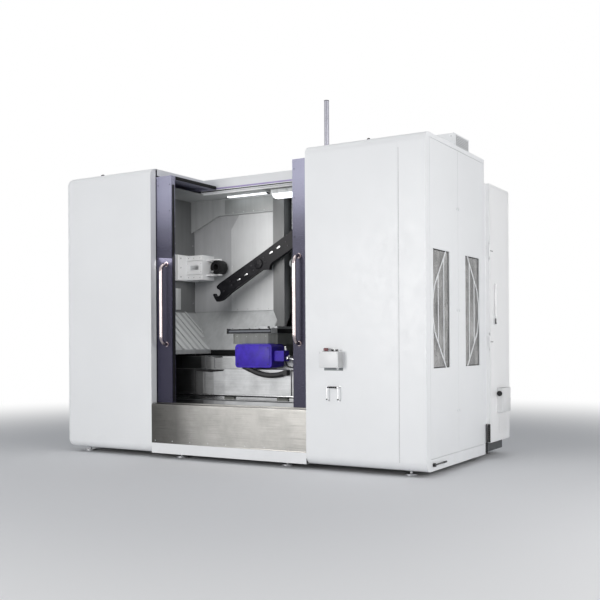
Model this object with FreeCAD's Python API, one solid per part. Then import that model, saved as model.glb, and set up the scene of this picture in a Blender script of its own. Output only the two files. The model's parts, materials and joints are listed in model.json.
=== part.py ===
import FreeCAD, Part
import math
import os

# Horizontal machining centre: a long enclosure with two sliding doors over an open working
# space, a table that travels left and right, a spindle behind it, and a tool changer beside it.
# Millimetres. Before the last step X runs left to right with 0 at the middle of the front,
# Y runs backwards from the front panels and Z runs up from the floor.

Vec = FreeCAD.Vector
ALONG_X = Vec(1, 0, 0)
ALONG_Y = Vec(0, 1, 0)
ALONG_Z = Vec(0, 0, 1)

# ---- Enclosure ----
front_width = 4400.0
machine_depth = 2200.0
machine_height = 3085.0
floor_gap = 55.0
sheet = 3.0
edge_radius = 85.0
edge_lip = 25.0
left_cabinet_width = 1260.0
right_block_width = 1232.0
right_block_depth = 1540.0
notch_depth = 930.0
fascia_height = 170.0
notch_flange = 72.0
trim_height = 107.0
sill_height = 413.0
sill_depth = 160.0
sill_edge_radius = 12.0
seam_from_corner = 270.0
seam_width = 4.0
seam_depth = 1.4
running_gap = 0.3
fit_gap = 0.05

# ---- Pan and feet ----
pan_floor = 10.0
pan_wall = 5.0
pan_height = 111.0
foot_pad_radius = 60.0
foot_pad_height = 16.0
foot_stud_radius = 14.0
foot_nut_radius = 24.0
foot_nut_height = 14.0
foot_inset = 190.0
feet_along = 4
feet_across = 3

# ---- Sliding doors ----
door_front = 90.0
door_thickness = 60.0
door_skin = 30.0
door_gap_below = 8.3
stile_width = 200.0
door_overlap = 24.0
door_seal_gap = 5.0
door_drop_from_roof = 90.0
left_leaf_set_back = 10.0
right_leaf_set_back = 5.0
roof_leaf_thickness = 40.0
roof_leaf_skin = 14.0
roof_leaf_stile = 60.0
roof_leaf_back = 40.0
end_cap_length = 18.0
window_margin = 130.0
window_low = 560.0
window_high = 1500.0
window_glass = 12.0
handle_length = 850.0
handle_low = 1205.0
handle_radius = 19.0
handle_standoff = 95.0
handle_bend = 85.0
handle_from_edge = 70.0
handle_flange_radius = 25.0
handle_flange = 3.0
rail_width = 30.0
rail_height = 8.0
rail_overrun = 30.0

# ---- Working space ----
chamber_front = 160.0
chamber_sheet = 4.0
pot_from_wall = 450.0
chamber_right_reach = 392.0
chamber_ceiling_drop = 155.0
chamber_back = 1380.0
header_depth = 80.0
header_height = 196.0
gusset_width = 425.0
gusset_height = 187.0
plate_from_left = 607.0
plate_thickness = 6.0
plate_cut_width = 117.0
plate_cut_height = 180.0
chute_top = 1590.0
chute_low = 1140.0
left_chute_run = 470.0
right_chute_run = 95.0
chute_lip = 46.0
deflector_front = 1060.0
chute_ribs = 5
chute_rib_height = 9.0
chute_rib_width = 26.0
lamp_length = 900.0
lamp_depth = 130.0
lamp_height = 84.0
lamp_front = 1070.0

# ---- Spindle window ----
spindle_x = 342.0
spindle_height = 2112.0
window_half_width = 372.0
window_bottom = 1345.0
window_top_drop = 205.0
jamb_width = 150.0
jamb_depth = 160.0
jamb_sheet = 5.0
jamb_cut_width = 110.0
jamb_cut_height = 240.0

# ---- Bed, guides and table ----
bed_top = 600.0
bed_front = 430.0
bed_back = 1040.0
bed_wall = 60.0
bed_pockets = 7
column_base_gap = 100.0
column_base_half = 500.0
x_travel = 1000.0
table_x = 50.0
saddle_half = 490.0
guide_width = 55.0
guide_height = 45.0
guide_inset = 90.0
saddle_side_gap = 24.0
cover_front = 420.0
cover_back = 1040.0
cover_bottom = 665.0
cover_ledge = 935.0
cover_ledge_depth = 180.0
cover_top = 1070.0
cover_sheet = 4.0
cover_step = 9.0
cover_length = 575.0
cover_margin = 30.0
bulkhead = 20.0
body_half = 280.0
body_flange_height = 110.0
body_corner = 70.0
body_bore = 150.0
body_bore_depth = 46.0
body_foot_inset = 160.0
pallet_size = 630.0
pallet_front = 400.0
pallet_thickness = 54.0
pallet_bottom = 1311.0
pallet_corner = 45.0
slot_width = 22.0
slot_neck = 18.0
slot_foot = 36.0
slot_foot_height = 14.0
slot_depth = 32.0
slot_pitch = 125.0
slot_count = 5
locator_height = 20.0
locator_width = 45.0
locator_length = 300.0
drive_width = 460.0
drive_left = 160.0
drive_front = 360.0
drive_bottom = 955.0
drive_radius = 38.0
connector_size = 107.0
connector_out = 117.0
connector_set_back = 45.0
hose_radius = 27.0
hose_bend = 560.0
hose_start = 135.0
hose_corner = 230.0
hose_corner_height = 842.0
hose_end = 445.0
hose_end_height = 907.0
hose_y = 388.0
hose_nut_wall = 3.5
hose_nut_length = 46.0
gland_size = 56.0
gland_width = 44.0
wiper_thickness = 8.0
trough_low = 440.0
trough_slope = 70.0

# ---- Column, head and spindle ----
column_half = 430.0
upright_width = 180.0
column_front = 1500.0
column_back_gap = 160.0
column_top_gap = 195.0
column_beam = 190.0
head_half = 355.0
head_half_height = 265.0
head_front = 1335.0
head_thickness = 105.0
barrel_half = 200.0
barrel_length = 500.0
ram_radius = 150.0
ram_front = 1410.0
ram_back_gap = 90.0
nose_radius = 115.0
nose_tip_radius = 98.0
nose_front = 1222.0
spindle_face = 1200.0
spindle_radius = 64.3
spindle_shaft_radius = 50.0
spindle_shaft_length = 520.0
taper_mouth_radius = 34.9
taper_end_radius = 20.0
taper_depth = 102.0
drive_key_width = 25.0
drive_key_height = 14.0
carriage_length = 130.0
bellows_depth = 56.0
bellows_half = 345.0
bellows_folds_up = 12
bellows_folds_down = 18
bellows_fold_depth = 16.0
bellows_low = 900.0
nozzle_radius = 48.0
nozzle_length = 62.0
nozzle_from_spindle = 315.0

# ---- Tool changer ----
arm_reach = 656.0
arm_angle = 28.2
arm_front = 1120.0
arm_thickness = 55.0
arm_half_width = 81.0
arm_shoulder_reach = 580.0
arm_end_reach = 633.0
arm_end_half = 69.0
jaw_radius = 44.5
hook_reach = 722.0
hook_tip_rise = 13.0
hook_tip_width = 22.0
hook_nose_reach = 712.0
hook_nose_half = 88.0
hook_toe_reach = 631.0
hook_toe_half = 108.0
hook_heel_reach = 476.0
hook_heel_half = 90.0
arm_lug_tip = 92.0
arm_lug_half = 132.0
arm_lug_side = 128.0
arm_lug_side_half = 95.0
arm_lug_end = 165.0
arm_slot_length = 56.0
arm_slot_width = 17.0
arm_slot_offset = 22.0
arm_slot_near = 206.0
arm_slot_far = 318.0
shaft_radius = 35.0
shaft_back = 1800.0
shaft_cap_radius = 42.0
shaft_cap = 6.0
shaft_collar_radius = 58.0
shaft_collar = 20.0
gearbox_front = 1425.0
gearbox_back = 1860.0
gearbox_width = 440.0
gearbox_height = 450.0
sleeve_depth = 220.0
sleeve_out = 60.0
sleeve_wall = 5.0
sleeve_front = 985.0
bracket_front = 1158.0
bracket_end_gap = 155.0
bracket_height = 290.0
bracket_rail_height = 58.0
bracket_rail_out = 16.0
bracket_groove = 8.0
ear_thickness = 14.0
ear_width = 76.0
pot_pin_radius = 10.0
pot_radius = 82.0
pot_length = 125.0
pot_front = 1200.0
pot_bore_radius = 35.0
pot_bore_depth = 102.0
magazine_radius = 482.0
magazine_rim = 75.0
magazine_y = 790.0
magazine_z = 1420.0
magazine_off_middle = 10.0
magazine_plate = 30.0
magazine_pots = 16
magazine_pot_radius = 60.0
magazine_pot_length = 130.0
magazine_axle_radius = 45.0
magazine_stand_width = 360.0
magazine_stand_thickness = 40.0

# ---- Right block ----
frame_thickness = 40.0
frame_lip = 11.0
frame_border = 45.0
bay_door_low = 165.0
bay_door_split = 790.0
bay_door_gap = 3.0
bay_door_thickness = 28.0
bay_door_skin = 3.0
pane_low = 975.0
pane_high = 2055.0
pane_thickness = 6.0
pane_front_near = 170.0
pane_front_far = 565.0
pane_rear_near = 985.0
pane_rear_far = 1380.0
bar_width = 15.0
bar_thickness = 6.0
grille_apex = 210.0
grille_bar_near = 0.34
grille_bar_far = 0.68
grille_apex_share = 0.02
grille_knee_share = 0.12
grille_tip_share = 0.82
hinge_pin_radius = 5.0
hinge_barrel_radius = 9.0
hinge_length = 90.0
filler_low = 365.0
chiller_low_y = 160.0
chiller_depth_y = 250.0
chiller_width = 420.0
chiller_height = 1900.0
chiller_louvres = 9
tank_low_y = 1090.0
tank_depth_y = 390.0
tank_width = 420.0
tank_height = 760.0
pump_radius = 105.0
pump_height = 420.0
bottle_radius = 85.0
bottle_height = 720.0
unit_from_side = 150.0
lever_y = 150.0
lever_z = 112.0
lever_length = 275.0
lever_radius = 9.0
lever_boss_radius = 17.0
lever_standoff = 24.0
lever_slit_before = 22.0
lever_slit_after = 58.0
lever_slit_above = 26.0
lever_slit_height = 12.0

# ---- Small fittings on the right block ----
control_from_opening = 199.0
control_width = 204.0
control_depth = 100.0
control_low = 980.0
control_height = 150.0
control_radius = 6.0
estop_radius = 23.0
estop_height = 26.0
estop_stem_radius = 14.0
button_radius = 13.0
button_height = 12.0
button_stem_radius = 8.0
button_rise = 7.0
button_stem_depth = 24.0
estop_from_left = 50.0
button_from_left = 120.0
button_pitch = 45.0
hook_from_opening = 245.0
hook_width = 118.0
hook_low = 668.0
hook_high = 800.0
hook_radius = 5.0
hook_standoff = 34.0
pole_from_opening = 130.0
pole_y = 200.0
pole_radius = 24.0
pole_height = 455.0
pole_wall = 4.0
pole_flange_radius = 55.0
pole_flange = 10.0
roof_box_width = 430.0
roof_box_depth = 400.0
roof_box_height = 215.0
roof_box_from_side = 110.0
roof_box_front = 1110.0

# ---- Electrical cabinet ----
cabinet_out = 40.0
cabinet_front = 1575.0
cabinet_width = 500.0
cabinet_top_drop = 240.0
cabinet_sheet = 4.0
cabinet_door_thickness = 22.0
cabinet_handle_y = 1742.0
cabinet_handle_low = 1470.0
cabinet_handle_length = 350.0
cabinet_handle_radius = 9.0
cabinet_handle_plate = 34.0
cabinet_hinge_low = 1210.0
cabinet_hinge_high = 2146.0
switch_box_near = 1790.0
switch_box_width = 262.0
switch_box_low = 471.0
switch_box_height = 254.0
switch_box_out = 64.0
knob_radius = 27.0
knob_height = 22.0
knob_stem_radius = 9.0
mounting_plate = 5.0
unit_rows = 4
unit_count = 6
unit_width = 46.0
unit_height = 130.0
unit_depth = 90.0

# ---- Places worked out from the sizes above ----
half_width = front_width / 2
opening_left = -half_width + left_cabinet_width
opening_right = half_width - right_block_width
roof_under = machine_height - sheet
sill_bottom = floor_gap + trim_height
sill_top = sill_bottom + sill_height
fold = edge_radius + edge_lip
pan_bottom = floor_gap + sheet
pan_top = pan_bottom + pan_floor
pan_rim = pan_bottom + pan_height
chamber_right = opening_right + chamber_right_reach
ceiling_top = machine_height - chamber_ceiling_drop
ceiling_under = ceiling_top - chamber_sheet
header_under = ceiling_under - header_height
hub_x = spindle_x - arm_reach
pot_x = hub_x - arm_reach
chamber_left = pot_x - pot_from_wall
table_y = pallet_front + pallet_size / 2
table_left_limit = spindle_x - x_travel / 2
table_right_limit = spindle_x + x_travel / 2
bed_left = table_left_limit - saddle_half - cover_length - cover_margin
bed_right = table_right_limit + saddle_half + cover_length + cover_margin
window_top = machine_height - window_top_drop
door_top = machine_height - door_drop_from_roof
door_bottom = sill_top + door_gap_below
door_meet = (opening_left + opening_right) / 2
door_back = door_front + door_thickness
leaf_width = (opening_right - opening_left) / 2 + door_overlap
side_x = half_width - frame_thickness
cabinet_right = half_width + cabinet_out
cabinet_left = cabinet_right - cabinet_width
frame_back = chamber_back - jamb_depth
column_base_back = machine_depth - column_base_gap
column_back = machine_depth - column_back_gap
column_top = machine_height - column_top_gap
ram_back = machine_depth - ram_back_gap
cabinet_top = machine_height - cabinet_top_drop


# ---- Small helpers ----
def block(x, y, z):
    """A box between two X, two Y and two Z values."""
    corner = Vec(min(x), min(y), min(z))
    size_x = abs(x[1] - x[0])
    size_y = abs(y[1] - y[0])
    size_z = abs(z[1] - z[0])
    return Part.makeBox(size_x, size_y, size_z, corner)


def rod(start, end, radius):
    """A round bar from one point to another."""
    run = end.sub(start)
    return Part.makeCylinder(radius, run.Length, start, run)


def prism(points, travel):
    """A flat outline of points, pushed along a vector."""
    outline = Part.makePolygon(points + [points[0]])
    return Part.Face(outline).extrude(travel)


def prism_x(points_yz, x):
    """An outline in Y and Z, pushed along X."""
    points = [Vec(x[0], y, z) for y, z in points_yz]
    return prism(points, Vec(x[1] - x[0], 0, 0))


def prism_y(points_xz, y):
    """An outline in X and Z, pushed along Y."""
    points = [Vec(px, y[0], pz) for px, pz in points_xz]
    return prism(points, Vec(0, y[1] - y[0], 0))


def prism_z(points_xy, z):
    """An outline in X and Y, pushed along Z."""
    points = [Vec(px, py, z[0]) for px, py in points_xy]
    return prism(points, Vec(0, 0, z[1] - z[0]))


def joined(shapes):
    """Several touching shapes as one solid."""
    return shapes[0].fuse(shapes[1:]).removeSplitter()


def edges_at(shape, **place):
    """The straight edges whose two ends both lie at the given coordinates."""
    found = []
    for edge in shape.Edges:
        ends = [vertex.Point for vertex in edge.Vertexes]
        if all(abs(getattr(end, axis) - value) < 0.01 for end in ends for axis, value in place.items()):
            found.append(edge)
    return found


def rounded(shape, radius, places):
    """Round the edges found at each of the given places."""
    edges = []
    for place in places:
        edges.extend(edges_at(shape, **place))
    return shape.makeFillet(radius, edges)


def bent_path(points, bend):
    """A path through the given corners: straight runs joined by tangent arcs of one radius."""
    edges = []
    start = points[0]
    for before, corner, after in zip(points, points[1:], points[2:]):
        back = before.sub(corner).normalize()
        ahead = after.sub(corner).normalize()
        half_angle = back.getAngle(ahead) / 2
        arc_start = corner.add(Vec(back) * (bend / math.tan(half_angle)))
        arc_end = corner.add(Vec(ahead) * (bend / math.tan(half_angle)))
        inward = back.add(ahead).normalize()
        arc_middle = corner.add(inward * (bend / math.sin(half_angle) - bend))
        edges.append(Part.LineSegment(start, arc_start).toShape())
        edges.append(Part.Arc(arc_start, arc_middle, arc_end).toShape())
        start = arc_end
    edges.append(Part.LineSegment(start, points[-1]).toShape())
    return Part.Wire(edges)


def tube_along(path, radius):
    """A round bar that follows a bent path."""
    first = path.Edges[0]
    direction = first.tangentAt(first.FirstParameter)
    circle = Part.Wire([Part.makeCircle(radius, first.valueAt(first.FirstParameter), direction)])
    return path.makePipeShell([circle], True, False)


# ---- Pan and feet ----
def base_pan():
    """The welded tray that everything stands on, with a rim that the covers fasten to."""
    x = (-half_width + edge_radius, side_x)
    y = (edge_radius, machine_depth - sheet)
    outer = block(x, y, (pan_bottom, pan_rim))
    inside_x = (x[0] + pan_wall, x[1] - pan_wall)
    inside_y = (y[0] + pan_wall, y[1] - pan_wall)
    return outer.cut(block(inside_x, inside_y, (pan_top, pan_rim + pan_wall)))


def levelling_feet():
    """Adjustable feet: a round pad, a threaded stud and a lock nut under the pan."""
    feet = []
    for along in range(feet_along):
        for across in range(feet_across):
            span_x = side_x + half_width - 2 * foot_inset
            span_y = machine_depth - 2 * foot_inset
            x = -half_width + foot_inset + span_x * along / (feet_along - 1)
            y = foot_inset + span_y * across / (feet_across - 1)
            pad = Part.makeCylinder(foot_pad_radius, foot_pad_height, Vec(x, y, 0))
            stud = Part.makeCylinder(foot_stud_radius, pan_bottom, Vec(x, y, 0))
            nut_low = pan_bottom - foot_nut_height
            nut = Part.makeCylinder(foot_nut_radius, foot_nut_height, Vec(x, y, nut_low))
            feet.append(joined([pad, stud, nut]))
    return Part.makeCompound(feet)


# ---- Enclosure covers ----
def cover_outline(x, y, side):
    """A block with the rounded edges of a front cover; side is the X of its outer end."""
    solid = block(x, y, (floor_gap, machine_height))
    places = [dict(y=0, z=machine_height), dict(y=0, z=floor_gap)]
    if side is not None:
        places += [dict(x=side, y=0), dict(x=side, z=machine_height), dict(x=side, z=floor_gap)]
    return rounded(solid, edge_radius, places)


def inner_outline(x, y, side):
    """The same block one sheet smaller, to hollow the cover with."""
    low = floor_gap + sheet
    high = machine_height - sheet
    solid = block(x, y, (low, high))
    front = min(y)
    places = [dict(y=front, z=high), dict(y=front, z=low)]
    if side is not None:
        places += [dict(x=side, y=front), dict(x=side, z=high), dict(x=side, z=low)]
    return rounded(solid, edge_radius - sheet, places)


def left_cover():
    """Front and left side of the left cabinet: one bent sheet with rounded corners."""
    left = -half_width
    outer = cover_outline((left, opening_left), (0, machine_depth), left)
    inner = inner_outline((left + sheet, opening_left + sheet), (sheet, machine_depth + sheet), left + sheet)
    front_part = block((left, opening_left), (0, fold), (0, machine_height))
    side_part = block((left, left + fold), (0, machine_depth), (0, machine_height))
    skin = outer.cut(inner).common(front_part.fuse(side_part))
    cheek_x = (opening_left - sheet, opening_left)
    cheek = outer.common(block(cheek_x, (0, edge_radius), (0, machine_height)))
    return joined([skin, cheek])


def right_cover():
    """Front of the right block, rounded at top and bottom, with one upright seam."""
    outer = cover_outline((opening_right, half_width), (0, machine_depth), None)
    inner_x = (opening_right - sheet, half_width - sheet)
    inner = inner_outline(inner_x, (sheet, machine_depth + sheet), None)
    front_part = block((opening_right, side_x), (0, fold), (0, machine_height))
    corner_part = block((opening_right, half_width), (0, edge_radius), (0, machine_height))
    skin = outer.cut(inner).common(front_part.fuse(corner_part))
    cheek_x = (opening_right, opening_right + sheet)
    cheek = outer.common(block(cheek_x, (0, edge_radius), (0, machine_height)))
    seam_x = half_width - seam_from_corner
    seam = block((seam_x, seam_x + seam_width), (0, seam_depth), (floor_gap, machine_height))
    return joined([skin, cheek]).cut(seam)


def roof_cover():
    """Roof with the loading notch, its folded flanges and fascia, and the back panels below it."""
    z = (roof_under, machine_height)
    left = -half_width + fold
    main = block((left, side_x), (fold, right_block_depth), z)
    rear = block((left, cabinet_left), (fold, machine_depth), z)
    notch = block((opening_left, opening_right), (0, notch_depth), z)
    sheet_part = main.fuse(rear).cut(notch)
    flange_z = (machine_height - notch_flange, machine_height)
    flange_y = (fold, notch_depth)
    left_flange = block((opening_left - sheet, opening_left), flange_y, flange_z)
    right_flange = block((opening_right, opening_right + sheet), flange_y, flange_z)
    fascia_x = (opening_left - sheet, opening_right + sheet)
    fascia_z = (machine_height - fascia_height, machine_height)
    fascia = block(fascia_x, (notch_depth, notch_depth + sheet), fascia_z)
    drop_z = (cabinet_top, machine_height)
    drop_y = (right_block_depth, machine_depth)
    drop = block((cabinet_left - sheet, cabinet_left), drop_y, drop_z)
    rail_y = (notch_depth - roof_leaf_back + running_gap, notch_depth)
    rail = block((opening_left, opening_right), rail_y, (ceiling_top, ceiling_top + rail_width))
    return joined([sheet_part, left_flange, right_flange, fascia, drop, rail, rear_cover()])


def rear_cover():
    """Plain back panels, with upright seams where they meet."""
    x = (-half_width + fold, cabinet_left)
    skin = block(x, (machine_depth - sheet, machine_depth), (floor_gap, roof_under))
    panels = 3
    for number in range(1, panels):
        seam_x = x[0] + (x[1] - x[0]) * number / panels
        seam_y = (machine_depth - seam_depth, machine_depth)
        skin = skin.cut(block((seam_x, seam_x + seam_width), seam_y, (floor_gap, roof_under)))
    return skin


def front_trim():
    """Low white strip under the sill, folded inwards at its foot."""
    x = (opening_left, opening_right)
    face = block(x, (0, sheet), (floor_gap, sill_bottom))
    foot = block(x, (0, fold), (floor_gap, floor_gap + sheet))
    return joined([face, foot])


def sill_panel():
    """Stainless panel under the door opening, with the long rail that the leaves run on."""
    x = (opening_left, opening_right)
    outline = block(x, (0, sill_depth), (sill_bottom, sill_top))
    outline = rounded(outline, sill_edge_radius, [dict(y=0, z=sill_top)])
    inner = block(x, (sheet, sill_depth), (sill_bottom, sill_top - sheet))
    inner = rounded(inner, sill_edge_radius - sheet, [dict(y=sheet, z=sill_top - sheet)])
    rail_x = (opening_left - leaf_width + stile_width, opening_right + leaf_width - stile_width)
    middle = door_front + door_thickness / 2
    rail_z = (sill_top, sill_top + door_gap_below - running_gap)
    rail = block(rail_x, (middle - rail_width / 2, middle + rail_width / 2), rail_z)
    return joined([outline.cut(inner), rail])


# ---- Sliding doors ----
def door_leaf(sign, stile_edge):
    """One L-shaped leaf; stile_edge is its leading X and sign points away from the opening."""
    tail = stile_edge + sign * leaf_width
    stile_x = (stile_edge, stile_edge + sign * stile_width)
    z = (door_bottom, door_top)
    stile = block(stile_x, (door_front, door_back), z)
    skin_y = (door_front + (door_thickness - door_skin) / 2, door_back - (door_thickness - door_skin) / 2)
    skin = block((stile_edge, tail), skin_y, z)
    pane_x = (stile_x[1] + sign * window_margin, tail - sign * window_margin)
    pane_z = (door_bottom + window_low, door_bottom + window_low + window_high)
    skin = skin.cut(block(pane_x, skin_y, pane_z))
    roof_y = (door_back, notch_depth - roof_leaf_back)
    roof_z = (door_top - roof_leaf_thickness, door_top)
    roof_skin_z = (door_top - roof_leaf_skin, door_top)
    roof_skin = block((stile_edge, tail), (door_front, roof_y[1]), roof_skin_z)
    roof_stile = block((stile_edge, stile_edge + sign * roof_leaf_stile), (door_front, roof_y[1]), roof_z)
    back_bar = block((stile_edge, tail), (roof_y[1] - roof_leaf_stile, roof_y[1]), roof_z)
    leaf = joined([stile, skin, roof_skin, roof_stile, back_bar])
    return leaf


def door_window(sign, stile_edge):
    """Laminated pane of one leaf, set in the opening of its skin."""
    tail = stile_edge + sign * leaf_width
    pane_x = (stile_edge + sign * (stile_width + window_margin), tail - sign * window_margin)
    pane_z = (door_bottom + window_low, door_bottom + window_low + window_high)
    middle = door_front + door_thickness / 2
    return block(pane_x, (middle - window_glass / 2, middle + window_glass / 2), pane_z)


def bow_handle(x):
    """Chrome bow: one bent tube with a round flange at each foot."""
    low = handle_low
    high = handle_low + handle_length
    foot_y = door_front
    out_y = door_front - handle_standoff
    corners = [
        Vec(x, foot_y, low),
        Vec(x, out_y, low),
        Vec(x, out_y, high),
        Vec(x, foot_y, high),
    ]
    pieces = [tube_along(bent_path(corners, handle_bend), handle_radius)]
    for height in (low, high):
        start = Vec(x, foot_y - handle_flange, height)
        pieces.append(Part.makeCylinder(handle_flange_radius, handle_flange, start, ALONG_Y))
    return joined(pieces)


# ---- Working space liners ----
def chute(wall_x, sign, run):
    """Ribbed slope that sheds chips from a side wall; sign points into the chamber."""
    foot_x = wall_x + sign * run
    steepness = (chute_top - chute_low) / run
    drop = chamber_sheet * math.hypot(1, steepness)
    outline = [
        (wall_x, chute_top),
        (foot_x, chute_low),
        (foot_x, chute_low - chute_lip),
        (foot_x - sign * chamber_sheet, chute_low - chute_lip),
        (foot_x - sign * chamber_sheet, chute_low + chamber_sheet * steepness - drop),
        (wall_x, chute_top - drop),
    ]
    slope = prism_y(outline, (chamber_front, chamber_back))
    rise = chute_rib_height * math.hypot(1, steepness)
    ribs = []
    pitch = (chamber_back - chamber_front) / (chute_ribs + 1)
    for number in range(1, chute_ribs + 1):
        middle = chamber_front + pitch * number
        rib = [
            (wall_x, chute_top - chamber_sheet / 2),
            (foot_x, chute_low - chamber_sheet / 2),
            (foot_x, chute_low + rise),
            (wall_x, chute_top + rise),
        ]
        ribs.append(prism_y(rib, (middle - chute_rib_width / 2, middle + chute_rib_width / 2)))
    return [piece.cut(mitre(wall_x, sign, run, True)) for piece in [slope] + ribs]


def mitre(wall_x, sign, run, behind):
    """Upright wedge on one side of the plane where a side slope meets the rear slope."""
    far = chamber_back + sheet
    near = deflector_front - sheet
    wall = wall_x - sign * sheet
    foot = wall_x + sign * run
    corner = (foot + sign * sheet, far) if behind else (wall, near)
    points = [(wall, far), (foot, near), corner]
    if behind:
        points = [(wall, far), (foot, near), (foot + sign * sheet, near), corner]
    return prism_z(points, (0, machine_height))


def side_liner(wall_x, sign, opening_x, run):
    """Side wall of the working space, with its front return, ceiling strip and chute."""
    outside = wall_x - sign * chamber_sheet
    wall = block((outside, wall_x), (chamber_front, chamber_back), (pan_top, ceiling_top))
    bed_slot_y = (cover_front - cover_margin, cover_back + cover_margin / 2)
    wall = wall.cut(block((outside, wall_x), bed_slot_y, (pan_top, chute_low - chute_lip)))
    cheek = opening_x - sign * sheet
    front_x = (outside, cheek)
    front = block(front_x, (chamber_front, chamber_front + chamber_sheet), (sill_top, ceiling_top))
    ledge = block(front_x, (door_front, chamber_front + chamber_sheet), (sill_top - chamber_sheet, sill_top))
    ceiling = block(front_x, (chamber_front, notch_depth + sheet), (ceiling_under, ceiling_top))
    pieces = [wall, front, ledge, ceiling] + chute(wall_x, sign, run)
    return pieces


def chamber_left_wall():
    """Left liner of the working space."""
    return joined(side_liner(chamber_left, 1, opening_left, left_chute_run))


def chamber_right_wall():
    """Right liner of the working space, steep so the table can run up to it."""
    return joined(side_liner(chamber_right, -1, opening_right, right_chute_run))


def spindle_window_outline(grow):
    """Corners of the window that the head looks through, grown by a margin."""
    left = spindle_x - window_half_width - grow
    right = spindle_x + window_half_width + grow
    low = window_bottom - grow
    high = window_top + grow
    return left, right, low, high


def chamber_rear_wall():
    """Back of the working space: a panel, a deep header, a corner gusset and a chip slope."""
    back = chamber_back
    skin_y = (back, back + sheet)
    x = (chamber_left, chamber_right)
    panel = block(x, skin_y, (chute_top - sheet * 2, ceiling_top))
    ceiling = block(x, (notch_depth + sheet, back + sheet), (ceiling_under, ceiling_top))
    frame_left = spindle_x - window_half_width - jamb_width
    header_x = (chamber_left, frame_left)
    face_y = (back - header_depth, back - header_depth + sheet)
    header = block(header_x, face_y, (header_under, ceiling_under))
    header_sole = block(header_x, (face_y[0], back), (header_under, header_under + sheet))
    gusset_points = [
        (chamber_left, header_under),
        (chamber_left + gusset_width, header_under),
        (chamber_left, header_under - gusset_height),
    ]
    gusset = prism_y(gusset_points, face_y)
    plate_left = chamber_left + plate_from_left
    plate_points = [
        (frame_left, chute_top),
        (frame_left, header_under),
        (plate_left + plate_cut_width, header_under),
        (plate_left, header_under - plate_cut_height),
        (plate_left, chute_top),
    ]
    plate = prism_y(plate_points, (back - plate_thickness, back))
    slope_points = [
        (back + sheet, chute_top),
        (deflector_front, chute_low),
        (deflector_front, chute_low - chute_lip),
        (deflector_front + sheet, chute_low - chute_lip),
        (deflector_front + sheet, chute_low - sheet),
        (back + sheet, chute_top - sheet * 1.5),
    ]
    slope = prism_x(slope_points, x)
    slope = slope.cut(mitre(chamber_left, 1, left_chute_run, False))
    slope = slope.cut(mitre(chamber_right, -1, right_chute_run, False))
    wall = joined([panel, ceiling, header, header_sole, gusset, plate, slope, spindle_frame()])
    left, right, low, high = spindle_window_outline(0)
    window = block((left, right), (frame_back - jamb_sheet, back + 2 * sheet), (low, high))
    hub = Vec(hub_x, back - header_depth, spindle_height)
    shaft_hole = Part.makeCylinder(shaft_radius + sheet, header_depth * 2, hub, ALONG_Y)
    return wall.cut(window).cut(shaft_hole)


def spindle_frame():
    """Box-section frame round the spindle window, with a cut lower corner."""
    left, right, low, high = spindle_window_outline(0)
    outer_left = left - jamb_width
    outer_right = right + jamb_width
    top = min(high + jamb_width, ceiling_under)
    outline = [
        (outer_left, top),
        (outer_left, low + jamb_cut_height),
        (outer_left + jamb_cut_width, low),
        (outer_right - jamb_cut_width, low),
        (outer_right, low + jamb_cut_height),
        (outer_right, top),
    ]
    y = (frame_back, chamber_back)
    body = prism_y(outline, y)
    hollow = prism_y(outline, (y[0] + jamb_sheet, y[1]))
    hollow_x = (outer_left + jamb_sheet, outer_right - jamb_sheet)
    hollow = hollow.common(block(hollow_x, y, (low, top - jamb_sheet)))
    inner = block((left - jamb_sheet, right + jamb_sheet), y, (0, high + jamb_sheet))
    body = body.cut(hollow.cut(inner))
    body = body.cut(block((left, right), y, (0, high)))
    slope_cut = [
        (chamber_back + sheet, chute_top),
        (deflector_front, chute_low),
        (deflector_front, 0),
        (chamber_back + sheet, 0),
    ]
    return body.cut(prism_x(slope_cut, (outer_left, outer_right)))


def chamber_lamp():
    """Long light fitting under the chamber ceiling, with a sloped front."""
    x = (spindle_x - lamp_length / 2, spindle_x + lamp_length / 2)
    z = ceiling_under
    outline = [
        (lamp_front, z),
        (lamp_front, z - lamp_height / 2),
        (lamp_front + lamp_height / 2, z - lamp_height),
        (lamp_front + lamp_depth, z - lamp_height),
        (lamp_front + lamp_depth, z),
    ]
    return prism_x(outline, x)


# ---- Bed and table ----
def bed():
    """Cast T-shaped bed, with cored pockets along its front and a base for the column."""
    x_bed = block((bed_left, bed_right), (bed_front, bed_back), (pan_top, bed_top))
    base_x = (spindle_x - column_base_half, spindle_x + column_base_half)
    base = block(base_x, (bed_back, column_base_back), (pan_top, bed_top))
    casting = x_bed.fuse(base)
    pitch = (bed_right - bed_left) / bed_pockets
    middle = (bed_front + bed_back) / 2
    for number in range(bed_pockets):
        left = bed_left + pitch * number + bed_wall
        right = bed_left + pitch * (number + 1) - bed_wall
        z = (pan_top + bed_wall, bed_top - bed_wall * 2)
        casting = casting.cut(block((left, right), (bed_front, middle - bed_wall), z))
    trough = block((bed_left, bed_right), (middle - bed_wall, middle + bed_wall), (bed_top - bed_wall, bed_top))
    return casting.cut(trough).removeSplitter()


def guide_places():
    """Y values of the two table guides."""
    return (bed_front + guide_inset, bed_back - guide_inset - guide_width)


def guide_rails():
    """Ground guide rails: two along the bed and two up the column."""
    rails = []
    for y in guide_places():
        rails.append(block((bed_left, bed_right), (y, y + guide_width), (bed_top, bed_top + guide_height)))
    for side in (-1, 1):
        middle = spindle_x + side * (column_half - upright_width / 2)
        x = (middle - guide_width / 2, middle + guide_width / 2)
        rails.append(block(x, (column_front - guide_height, column_front), (bellows_low, column_top)))
    return Part.makeCompound(rails)


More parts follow.
